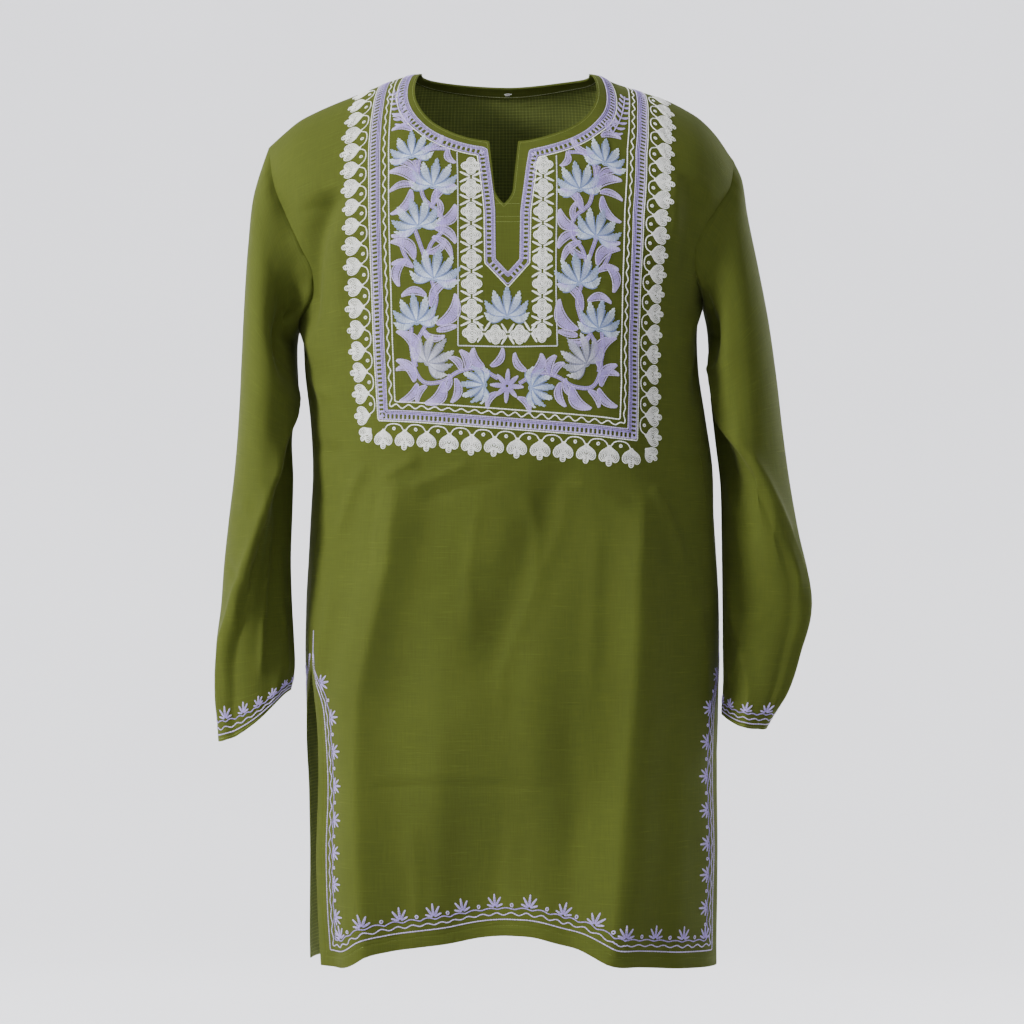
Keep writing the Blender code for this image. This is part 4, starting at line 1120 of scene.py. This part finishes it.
def lotus(work, place, degrees, size, grey):
    """A fan of pointed petals, the middle ones longest and on top."""
    deep, mid, pale = (DEEP_GREY, GREY, PALE_GREY) if grey else (DEEP_SKY, SKY, PALE_SKY)
    heading = compass(degrees)
    base = place - heading * LOTUS_BASE * size
    middle = LOTUS_PETALS // 2
    shortest, longest = LOTUS_LENGTH
    for k in sorted(range(LOTUS_PETALS), key=lambda k: -abs(k - middle)):
        share = k / (LOTUS_PETALS - 1) * 2 - 1
        length = longest - (longest - shortest) * abs(share) ** 1.3
        length *= size * work.random.uniform(0.95, 1.05)
        way = compass(degrees + share * LOTUS_SPREAD)
        colours = (pale, mid) if k % 2 else (mid, pale)
        lift = 0.12 * (middle - abs(k - middle))
        work.petal(
            base + way * 2.0, base + way * length, LOTUS_WIDTH * size, 0.24 * share, *colours, lift,
            rim=deep, feather=LOTUS_FEATHER,
        )
    for side in (-1, 1):
        way = compass(degrees + side * 112)
        work.petal(base, base + way * 15 * size, 6.5, -0.25 * side, mid, pale)
    dot = np.stack([compass(turn) * 4 for turn in range(0, 360, 30)])
    work.ring(dot, base + heading, mid)


def sprig(work, place, heading, size):
    """Five slim petals that fan out from one point."""
    petals = ((0, 12.0, 3.0), (-32, 10.6, 2.8), (32, 10.6, 2.8), (-68, 7.6, 2.8), (68, 7.6, 2.8))
    for turn, length, width in petals:
        angle = math.radians(turn)
        way = heading * math.cos(angle) + np.array((-heading[1], heading[0])) * math.sin(angle)
        start = place + way * 1.2 * size
        work.petal(start, place + way * length * size, width * size, 0.0, LAVENDER, LILAC)


def swung(kind, turns):
    """How far a wave or a scalloped row swings off its line, as a share."""
    return np.sin(2 * math.pi * turns) if kind == "wave" else 2 * np.abs(np.sin(math.pi * turns)) - 1


def decorate(work, path, rows, taper=None, level_swing=1.0):
    """Lays the rows of a border or frame at their distances inwards of its edge."""
    for away, kind, colour, swing, length in rows:
        line = offset(path, -away)
        if kind != "line":
            run = travelled(line)[-1]
            at = np.linspace(0, run, int(run / 1.5))
            points, out = at_lengths(line, at)
            wander = 1 + 0.25 * np.sin(at / 31.0 + away)
            wander *= 1 + (level_swing - 1) * np.abs(out[:, 1])
            reach = swing * swung(kind, at * round(run / length) / run) * wander
            line = points - out * reach[:, None]
        work.row(taper(line) if taper else line, colour)


def neck_band():
    """The inner edge of the band that goes round the neck and the placket."""
    halves = {}
    for side in (-1, 1):
        across, down = neckline("front", NECK_BAND_IN[side] * MM)
        half = np.stack((side * across, down), axis=1) / MM
        halves[side] = half[np.abs(half[:, 0]) > 24]
    return np.concatenate((halves[-1], np.array(PLACKET, float), halves[1][::-1]))


def yoke_lines(work):
    frame_path = np.array(FRAME, float)
    decorate(work, frame_path, FRAME_ROWS, level_swing=1.7)
    for place, way in zip(*at_lengths(frame_path, np.arange(2, travelled(frame_path)[-1], 4.5))):
        work.row((place - way * 2.0, place - way * 7.4), LILAC, LAVENDER, stitch=2.0, width=2.5)
    band = neck_band()
    rows = ((0.0, LILAC), (1.4, LAVENDER), (2.8, LAVENDER), (8.2, LAVENDER), (9.9, WHITE))
    for distance, colour in rows:
        work.row(offset(band, distance), colour)
    for place, way in zip(*at_lengths(band, np.arange(2, travelled(band)[-1], 4.6))):
        work.row((place + way * 3.2, place + way * 8.0), LILAC, LAVENDER, stitch=2.0, width=2.5)
    # Lines that frame the white flowers
    for line in (
        (-48.6, 132, -47.9, 160, -48.2, 250, -49, 331.5),
        (48.2, 137, 48.6, 160, 49, 250, 51, 332),
        (-49, 331.5, 0, 332.5, 51, 332),
    ):
        work.row(curve(line), PALE_GREY)


def yoke_hearts(work):
    frame_path = np.array(FRAME, float)
    final = len(frame_path) - 1
    corners = [0, 7, 8, final]
    for first, last in zip(corners, corners[1:]):
        side = frame_path[first : last + 1]
        run = travelled(side)[-1]
        margin = 14 if last - first == 1 else (16 if first == 0 else 2)
        start, end = 14.0 if first == 0 else 6.0, run - (14.0 if last == final else 6.0)
        at = np.linspace(start, end, round((run - margin) / HEART_PITCH))
        for place, way in zip(*at_lengths(side, at)):
            heart(work, place + way * HEART_OUT, way, work.random.uniform(0.94, 1.04))
        reach = (at[1] - at[0]) / 2
        arch = curve((1 - reach, 9.5, -reach * 0.62, 4.4, 0, 2.6, reach * 0.62, 4.4, reach - 1, 9.5))
        for place, way in zip(*at_lengths(side, (at[1:] + at[:-1]) / 2)):
            work.row(turned(arch, place, way), WHITE)
            dot = circle(np.linspace(0, 2 * math.pi, 9), 1.5)
            work.row(turned(dot, place + way * 7.4, way), WHITE, stitch=1.6)
    for corner, degrees in ((FRAME[7], -132), (FRAME[8], 132)):
        way = compass(degrees)
        heart(work, np.array(corner) + way * (HEART_OUT + 2), way, 0.86)


def yoke_quatrefoils(work):
    downs = (147, 171.5, 196, 220.5, 245, 270, 295)
    for side in (-1, 1):
        for down in downs:
            quatrefoil(work, np.array((side * 35.2, down)), work.random.uniform(0.97, 1.03))
        for down, below in zip(downs, downs[1:]):
            small_leaves(work, side * 35.2, (down + below) / 2, 28)
        quatrefoil(work, np.array((side * 35, 319)), 0.98)
        small_leaves(work, side * 35.2, 307, 24)
        quatrefoil(work, np.array((side * 12, 320.5)), 0.98)
        small_leaves(work, side * 23.5, 318, 58)
    small_leaves(work, 0.0, 320, 58)


def small_leaves(work, across, down, degrees):
    """Four small leaves that cross between two flowers."""
    place = np.array((across, down))
    for turn in (90 - degrees, 90 + degrees, -90 - degrees, -90 + degrees):
        way = compass(turn)
        work.petal(place + way * 1.2, place + way * 12.0, 3.4, 0.0, WHITE, WHITE, rows=2)


def yoke_lotus(work):
    for across, down, heading, size, grey in LOTUSES:
        lotus(work, np.array((across, down), float), heading, size, grey)


def yoke_vines(work):
    for side in (-1, 1):
        shift = np.array((0.0, 0.0)) if side < 0 else np.array((1.5, 5.0))
        mirror = np.array((-side, 1.0))
        for *ends, width, bend in LEAVES:
            sway = work.random.uniform(-1.0, 1.0, 2) * (side > 0)
            ends = np.array(ends).reshape(2, 2) * mirror + shift + sway
            work.petal(*ends, width * 0.82, -side * bend, LAVENDER, LILAC, 0.05, rim=LILAC, gap=0.7)
        for stem in STEMS:
            path = curve(np.array(stem).reshape(-1, 2) * mirror + shift)
            for place in (-1.35, 0, 1.35):
                work.row(offset(path, place), LAVENDER if place else LILAC)
        spray(work, curve(SPRAYS[side]))
    # Star of eight petals in the middle of the bottom
    centre = np.array((-0.9, 371.5))
    for turn in range(0, 360, 45):
        way = compass(turn + 4)
        length = 15 if turn % 90 else 17
        work.petal(centre + way * 1.5, centre + way * length, 5.6, 0.0, LAVENDER, LILAC, 0.1)


def spray(work, path):
    """A feathery twig with leaflets in pairs, which get smaller towards its end."""
    work.row(path, LILAC)
    run = travelled(path)[-1]
    for at in np.arange(4, run - 2, 8.5):
        points, out = at_lengths(path, np.array([at]))
        ahead = np.array((out[0, 1], -out[0, 0]))
        for side in (-1, 1):
            way = unit(ahead * 0.75 + side * out[0] * 0.8)
            length = 11.0 - 5.0 * at / run
            work.petal(points[0], points[0] + way * length, 3.6, 0.12 * side, LAVENDER, LILAC)


def hem_border(panel, seed):
    """The border that goes down one slit, along the hem and up the other slit."""
    work = Embroidery(face(panel), seed)
    edge = panel_outline(panel)[1] / MM
    top = edge[:, 1].min()
    edge = np.concatenate((edge[:1] - (0, 14), edge, edge[-1:] - (0, 14)))

    def taper(line):
        """Brings the rows together above the slits."""
        near_left, near_right = (np.interp(line[:, 1], e[:60, 1], e[:60, 0]) for e in (edge, edge[::-1]))
        near = np.where(line[:, 0] < 0, near_left, near_right)
        keep = 0.2 + 0.8 * ease((line[:, 1] - top + 14) / 60)
        across = np.where(line[:, 1] < top + 60, near + (line[:, 0] - near) * keep, line[:, 0])
        return np.stack((across, line[:, 1]), axis=1)

    decorate(work, edge, HEM_ROWS, taper)
    base = offset(edge, -28.6)
    run = travelled(base)[-1]
    at = np.linspace(30, run - 30, round((run - 60) / SPRIG_PITCH) + 1)
    points, out = at_lengths(base, at)
    for place, way in zip(taper(points), out):
        sprig(work, place, -way, 1.15)
    points, out = at_lengths(base, (at[1:] + at[:-1]) / 2)
    turns = np.linspace(0, 2 * math.pi, 9)
    bud = np.stack((np.sin(turns) * 1.5, 2.2 - np.cos(turns) * 1.8), axis=1)
    for place, way in zip(taper(points), out):
        work.row(turned(bud, place, -way), LILAC, stitch=1.7)
    for end in (0, -1) if panel == "front" else ():
        place = edge[end] - np.array((np.sign(edge[end, 0]) * 4, 0))
        work.row((place, place - np.array((0.0, 24.0))), LILAC, width=1.1)
    return work


def cuff_border(side, seed):
    surface, girth = cuff_surface(side)
    work = Embroidery(surface, seed)
    at = np.linspace(0, girth, int(girth / 1.4))
    for place, kind, colour, swing, length in CUFF_ROWS:
        up = np.full(len(at), place)
        if kind != "line":
            up += swing * swung(kind, at * round(girth / length) / girth)
        work.row(np.stack((at, up), axis=1), colour)
    count = round(girth / CUFF_SPRIG_PITCH)
    for k in range(count):
        place = np.array((girth * (k + 0.5) / count, CUFF_ROWS[-1][0] + 1.4))
        sprig(work, place, np.array((0.0, 1.0)), 0.85)
    return work


def topstitching():
    """Fine machine stitches in olive thread along the hems and the neck, by piece."""
    fine = {"stitch": 3.0, "width": 0.7, "height": 0.35}
    made = {}
    for panel in ("front", "back"):
        work = made[panel + "_topstitching"] = Embroidery(face(panel), 21)
        lines = [offset(panel_outline(panel)[1] / MM, -HEM_STITCHING)]
        if panel == "front":
            lines.append(offset(np.array(front_neck_edge()) / MM, 2.2))
            lines += [((-12.0, down), (12.0, down)) for down in (187.5, 201.0, 206.5)]
        for line in lines:
            work.row(line, OLIVE_THREAD, **fine)
    work = made["facing_topstitching"] = Embroidery(face("back", FACING_IN, -1), 22)
    work.row(whole_line(*neckline("back", FACING_WIDTH - 1.4 * MM)) / MM, PALE_THREAD, **fine)
    work.row(((-4, 38.6), (1, 38), (4, 39.2)), WHITE, stitch=1.8)
    work.row(((-2, 40), (3, 40.6)), WHITE, stitch=1.8)
    for name, side in (("right", -1), ("left", 1)):
        surface, girth = cuff_surface(side)
        work = made[name + "_cuff_topstitching"] = Embroidery(surface, 23)
        around = np.linspace(0, girth, 120)
        work.row(np.stack((around, np.full(120, 2.0)), axis=1), OLIVE_THREAD, **fine)
    return made


def new_material(name, roughness, sheen, sheen_tint):
    material = bpy.data.materials.new(name)
    material.use_nodes = True
    shader = material.node_tree.nodes["Principled BSDF"]
    values = {
        "Roughness": roughness, "Metallic": 0.0, "IOR": 1.5, "Specular IOR Level": 0.25,
        "Sheen Weight": sheen, "Sheen Roughness": 0.5, "Sheen Tint": (*sheen_tint, 1.0),
    }
    for key, value in values.items():
        shader.inputs[key].default_value = value
    return material.node_tree, shader


def slub_cotton(name, colour, slub_colour, weave_strength, painted_backlight_lines=0.0):
    """Handloom cotton, piece-dyed: matt, with thick and thin threads both ways that catch the light."""
    tree, shader = new_material(name, 0.88, 0.12, rgb("#A9AF78"))
    flat = add(tree, "UVMap", uv_map="flat")
    # Threads lie 0.5 mm apart, which is too fine to show, so they're drawn 1.1 mm apart both ways.
    # Slubs: now and then a weft thread is thicker for 10 to 40 mm. The dye is a little cloudy.
    patterns = []
    for scale, detail, roughness in (
        ((900, 34, 1), 2.0, 0.55),
        ((38, 880, 1), 2.0, 0.55),
        ((26, 560, 1), 3.0, 0.6),
        ((7, 7, 7), 3.0, 0.5),
    ):
        place = add(tree, "Mapping", {"Vector": flat, "Scale": scale})
        settings = {"Vector": place, "Scale": 1.0, "Detail": detail, "Roughness": roughness}
        patterns.append(add(tree, "TexNoise", settings))
    warp, weft, slub, cloudy = patterns
    thick = add(tree, "MapRange", (slub, 0.58, 0.8, 0.0, 1.0))
    weave = add(tree, "Math", (warp, weft), operation="ADD")
    tone = add(tree, "MapRange", (weave, 0.6, 1.4, 1.0 - weave_strength, 1.0 + weave_strength))
    cloud_tone = add(tree, "MapRange", (cloudy, 0.3, 0.7, 0.94, 1.06))
    both = add(tree, "Math", (tone, cloud_tone), operation="MULTIPLY")
    if painted_backlight_lines:
        # Painted light: inside the neck, light that shows through the thin cloth is painted as a paler line on
        # every eighth thread.
        waves = {"Vector": flat, "Scale": 88.0, "Distortion": 0.6, "Detail": 1.0}
        for way in ("X", "Y"):
            bands = add(tree, "TexWave", waves, wave_type="BANDS", bands_direction=way)
            line = add(tree, "MapRange", (bands.outputs["Fac"], 0.7, 1.0, 1.0, 1.0 + painted_backlight_lines))
            both = add(tree, "Math", (both, line), operation="MULTIPLY")
    colours = {"Factor": thick, "A": (*colour, 1.0), "B": (*slub_colour, 1.0)}
    dyed = add(tree, "Mix", colours, data_type="RGBA")
    shaded = add(tree, "VectorMath", {0: dyed.outputs["Result"], "Scale": both}, operation="SCALE")
    tree.links.new(shaded.outputs["Vector"], shader.inputs["Base Color"])
    # The topstitching pulls the hem in along its line.
    edge = add(tree, "Attribute", attribute_name="edge")
    off_line = add(tree, "Math", (edge.outputs["Fac"], HEM_STITCHING * MM), operation="SUBTRACT")
    away = add(tree, "Math", (off_line,), operation="ABSOLUTE")
    groove = add(tree, "MapRange", (away, 0.0, 1.6 * MM, -0.9, 0.0))
    height = add(tree, "Math", (weave, 0.55, groove), operation="MULTIPLY_ADD")
    raised = add(tree, "Math", (thick, 0.5, height), operation="MULTIPLY_ADD")
    bump = add(tree, "Bump", {"Height": raised, "Strength": 0.7, "Distance": 0.35 * MM})
    tree.links.new(bump.outputs["Normal"], shader.inputs["Normal"])


def embroidery_thread(name, roughness, sheen):
    """Soft twisted rayon and cotton: each stitch is a rounded grain that shines a little on its crown."""
    tree, shader = new_material(name, roughness, sheen, rgb("#FFFFFF"))
    shade = add(tree, "Attribute", attribute_name="thread")
    place = add(tree, "TexCoord").outputs["Object"]
    # Plies lie 0.3 mm apart, drawn 0.6 mm apart to show.
    plies = add(tree, "TexNoise", {"Vector": place, "Scale": 1600.0, "Detail": 1.0, "Roughness": 0.5})
    tone = add(tree, "MapRange", (plies, 0.3, 0.7, 0.92, 1.06))
    spun = add(tree, "VectorMath", {0: shade.outputs["Color"], "Scale": tone}, operation="SCALE")
    tree.links.new(spun.outputs["Vector"], shader.inputs["Base Color"])
    bump = add(tree, "Bump", {"Height": plies, "Strength": 0.4, "Distance": 0.15 * MM})
    tree.links.new(bump.outputs["Normal"], shader.inputs["Normal"])


def painted_board(name, colour):
    """Studio surround: matt emulsion paint, which lights evenly and shows no seam."""
    tree, shader = new_material(name, 0.95, 0.0, rgb("#FFFFFF"))
    place = add(tree, "TexCoord").outputs["Object"]
    roller = add(tree, "TexNoise", {"Vector": place, "Scale": 1.2, "Detail": 2.0, "Roughness": 0.5})
    tone = add(tree, "MapRange", (roller, 0.3, 0.7, 0.985, 1.015))
    shade = add(tree, "VectorMath", {0: colour, "Scale": tone}, operation="SCALE")
    tree.links.new(shade.outputs["Vector"], shader.inputs["Base Color"])


def colour_property(name, description, code):
    return bpy.props.FloatVectorProperty(
        name=name, description=description, subtype="COLOR", size=3, default=rgb(code)
    )


def number_property(name, description, default, unit="LENGTH"):
    return bpy.props.FloatProperty(name=name, description=description, default=default, unit=unit)


class KurtaCloth(bpy.types.PropertyGroup):
    cell: number_property("Cell", "Size of the cloth's triangles", 4.1 * MM)
    colour: colour_property("Cotton", "Colour of the dyed cotton", "#454D11")
    slub_colour: colour_property("Slubs", "Colour of the thicker threads", "#525C1A")
    # The wrong side is coloured paler than the dyed cotton: painted light, for the light that shows through the
    # thin cloth.
    wrong_side_painted_backlight: colour_property("Wrong side", "Colour of the cloth's wrong side", "#687238")


class KurtaStage(bpy.types.PropertyGroup):
    floor_below: number_property("Floor", "How far below the shoulders the floor lies", 1.42)
    backdrop: colour_property("Backdrop", "Colour of the floor and surround", "#DCDCE0")
    key_power: number_property("Key light", "Power of the light in front on the left", 240.0, "POWER")
    fill_power: number_property("Fill light", "Power of the light in front on the right", 13.0, "POWER")
    top_power: number_property("Top light", "Power of the light above", 20.0, "POWER")
    rear_power: number_property("Rear light", "Power of the light behind on the right", 60.0, "POWER")
    backdrop_power: number_property(
        "Backdrop lights", "Power of each of the two lights on the surround", 228.0, "POWER"
    )


def on_garment(piece):
    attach(piece, "root")


class KURTA_OT_materials(bpy.types.Operator):
    """Mixes the cottons and the threads"""

    bl_idname = "kurta.materials"
    bl_label = "Materials"

    def execute(self, context):
        cloth = context.scene.kurta_cloth
        slub_cotton("slub_cotton", tuple(cloth.colour), tuple(cloth.slub_colour), 0.14)
        # The wrong side's paler colour and its paler thread lines are painted light showing through the thin
        # cloth.
        slub_cotton("slub_cotton_wrong_side", tuple(cloth.wrong_side_painted_backlight), tuple(cloth.colour), 0.25, 0.45)
        embroidery_thread("embroidery_thread", 0.55, 0.2)
        embroidery_thread("sewing_thread", 0.7, 0.1)
        return {"FINISHED"}


class KURTA_OT_panels(bpy.types.Operator):
    """Cuts the front, the back and the back neck facing"""

    bl_idname = "kurta.panels"
    bl_label = "Front and back"

    def execute(self, context):
        cell = context.scene.kurta_cloth.cell
        for panel in ("front", "back"):
            flat, tris, points, normals, edge = panel_piece(panel, cell)
            outer = points + (CLOTH_OUT + hem_swell(edge))[:, None] * normals
            made = shell(panel + "_panel", outer, points + CLOTH_IN * normals, tris, flat, edge)
            on_garment(made)
            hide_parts(panel)
        line = facing_line()
        band = np.concatenate((line, [(line[-1, 0], -1.0), (line[0, 0], -1.0)]))
        strip = tris[inside(flat[tris].mean(axis=1), band)][:, ::-1]
        seen, hidden = points + FACING_IN * normals, points + FACING_OUT * normals
        facing = shell("neck_facing", seen, hidden, strip, flat, edge * 0 + 1)
        on_garment(facing)
        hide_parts("neck_facing_back")
        return {"FINISHED"}


class KURTA_OT_sleeves(bpy.types.Operator):
    """Cuts and sets in the sleeves"""

    bl_idname = "kurta.sleeves"
    bl_label = "Sleeves"

    def execute(self, context):
        for name, side in (("sleeve_right", -1), ("sleeve_left", 1)):
            rings, out, along, first_inner = SLEEVE_GRIDS[side]
            count = rings.shape[1]
            inner = rings - (CLOTH_OUT - CLOTH_IN) * out
            inner[0] = first_inner
            i, j = np.meshgrid(np.arange(SLEEVE_RINGS - 1), np.arange(count), indexing="ij")
            a, b = i * count + j, i * count + (j + 1) % count
            faces = np.stack((a, b, b + count, a + count), axis=-1).reshape(-1, 4)
            p, q, r = rings.reshape(-1, 3)[faces[0, :3]]
            if np.dot(np.cross(q - p, r - p), out[0, 0]) < 0:
                faces = faces[:, ::-1]
            around = np.linspace(0, SLEEVE_GIRTH * MM, count, endpoint=False)
            flat = np.stack(np.broadcast_arrays(around[None, :], along[:, None]), axis=-1)
            edge = np.repeat(along[-1] - along, count)
            outer, inner = rings.reshape(-1, 3), inner.reshape(-1, 3)
            made = shell(name + "_piece", outer, inner, faces, flat.reshape(-1, 2), edge)
            on_garment(made)
            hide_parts(name)
        return {"FINISHED"}


class KURTA_OT_yoke(bpy.types.Operator):
    """Embroiders the yoke"""

    bl_idname = "kurta.yoke"
    bl_label = "Yoke embroidery"

    def execute(self, context):
        stitchers = {
            "yoke_lines": (yoke_lines, 1),
            "yoke_hearts": (yoke_hearts, 2),
            "yoke_quatrefoils": (yoke_quatrefoils, 3),
            "yoke_vines": (yoke_vines, 5),
            "yoke_lotus": (yoke_lotus, 4),
        }
        for name, (stitch, seed) in stitchers.items():
            work = Embroidery(face("front"), seed)
            stitch(work)
            on_garment(work.make(name, "embroidery_thread"))
        return {"FINISHED"}


class KURTA_OT_borders(bpy.types.Operator):
    """Embroiders the hems, the slits and the cuffs"""

    bl_idname = "kurta.borders"
    bl_label = "Borders"

    def execute(self, context):
        pieces = {
            "hem_border_front": hem_border("front", 6),
            "hem_border_back": hem_border("back", 7),
            "cuff_border_right": cuff_border(-1, 8),
            "cuff_border_left": cuff_border(1, 9),
        }
        for name, work in pieces.items():
            on_garment(work.make(name, "embroidery_thread"))
        return {"FINISHED"}


class KURTA_OT_topstitching(bpy.types.Operator):
    """Sews the hems and the neck down"""

    bl_idname = "kurta.topstitching"
    bl_label = "Topstitching"

    def execute(self, context):
        for name, work in topstitching().items():
            on_garment(work.make(name, "sewing_thread"))
        return {"FINISHED"}


class KURTA_OT_stage(bpy.types.Operator):
    """Sets up the camera, the floor and the lights"""

    bl_idname = "kurta.stage"
    bl_label = "Stage"

    def execute(self, context):
        stage = context.scene.kurta_stage
        camera = bpy.data.cameras.new("camera")
        camera.sensor_width = 36.0
        camera.lens = 36.0 * 3000 / 1024
        seen = new_object("camera", camera)
        seen.location = (0.004, -3.10, -0.4516)
        seen.rotation_euler = (math.pi / 2, 0, 0)
        context.scene.camera = seen
        self.surround(context, -stage.floor_below, stage.backdrop)
        middle = (0.0, 0.0, -0.42)
        self.light("key", (-3.1, -1.58, 1.12), middle, 0.85, stage.key_power)
        self.light("fill", (2.3, -2.9, 0.1), middle, 1.6, stage.fill_power)
        self.light("top", (-0.3, -0.9, 2.2), middle, 1.6, stage.top_power)
        self.light("rear", (2.7, 1.9, 0.9), middle, 0.9, stage.rear_power)
        for side in (-1, 1):
            place = (side * 1.9, 1.6, 0.9)
            self.light("backdrop", place, (side * 0.6, 6.6, 0.2), 1.6, stage.backdrop_power)
        world = bpy.data.worlds.new("studio")
        world.use_nodes = True
        sky = world.node_tree.nodes["Background"]
        sky.inputs["Color"].default_value = (*rgb("#E4E5EC"), 1.0)
        sky.inputs["Strength"].default_value = 0.24
        context.scene.world = world
        return {"FINISHED"}

    def surround(self, context, floor, colour):
        """A floor that curves up into a round wall, so no line shows behind the garment."""
        profile = [(0.0, floor), (3.6, floor)]
        for angle in np.linspace(0, math.pi / 2, 17):
            profile.append((3.6 + 3.0 * math.sin(angle), floor + 3.0 * (1 - math.cos(angle))))
        profile.append((6.6, floor + 6.5))
        mesh = bpy.data.meshes.new("surround")
        edges = [(k, k + 1) for k in range(len(profile) - 1)]
        mesh.from_pydata([(r, 0.0, z) for r, z in profile], edges, [])
        board = new_object("surround", mesh)
        bpy.ops.object.select_all(action="DESELECT")
        context.view_layer.objects.active = board
        board.select_set(True)
        turn = board.modifiers.new("turn", "SCREW")
        turn.steps = turn.render_steps = 96
        turn.use_merge_vertices = True
        turn.merge_threshold = 0.001
        bpy.ops.object.modifier_apply(modifier="turn")
        bpy.ops.object.shade_smooth()
        board.select_set(False)
        painted_board("emulsion_paint", tuple(colour))
        board.data.materials.append(bpy.data.materials["emulsion_paint"])
        board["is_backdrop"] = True

    def light(self, name, place, aim, size, power):
        lamp = bpy.data.lights.new(name, "AREA")
        lamp.shape, lamp.size, lamp.energy = "DISK", size, power
        made = new_object(name, lamp)
        made.location = place
        made.rotation_euler = (Vector(aim) - Vector(place)).to_track_quat("-Z", "Y").to_euler()


class KURTA_PT_panel(bpy.types.Panel):
    """Lists the steps that make the kurta"""

    bl_idname = "KURTA_PT_panel"
    bl_label = "Kurta"
    bl_space_type = "VIEW_3D"
    bl_region_type = "UI"
    bl_category = "Kurta"

    def draw(self, context):
        for step in STEPS:
            self.layout.operator(step.bl_idname)
        for settings in (context.scene.kurta_cloth, context.scene.kurta_stage):
            for key in settings.__annotations__:
                self.layout.prop(settings, key)


STEPS = (
    KURTA_OT_materials,
    KURTA_OT_panels,
    KURTA_OT_sleeves,
    KURTA_OT_yoke,
    KURTA_OT_borders,
    KURTA_OT_topstitching,
    KURTA_OT_stage,
)
CLASSES = (KurtaCloth, KurtaStage, *STEPS, KURTA_PT_panel)


def register():
    for kind in CLASSES:
        bpy.utils.register_class(kind)
    bpy.types.Scene.kurta_cloth = bpy.props.PointerProperty(type=KurtaCloth)
    bpy.types.Scene.kurta_stage = bpy.props.PointerProperty(type=KurtaStage)


def unregister():
    del bpy.types.Scene.kurta_stage
    del bpy.types.Scene.kurta_cloth
    for kind in reversed(CLASSES):
        bpy.utils.unregister_class(kind)


def plain(box):
    return [[float(v) for v in corner] for corner in box]


def main():
    register()
    bpy.ops.kurta.materials()
    bpy.ops.kurta.panels()
    bpy.ops.kurta.sleeves()
    bpy.ops.kurta.yoke()
    bpy.ops.kurta.borders()
    bpy.ops.kurta.topstitching()
    bpy.ops.kurta.stage()
    {"cad": plain(CAD_BOX), "visual": plain(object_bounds())}


if __name__ == "__main__":
    main()
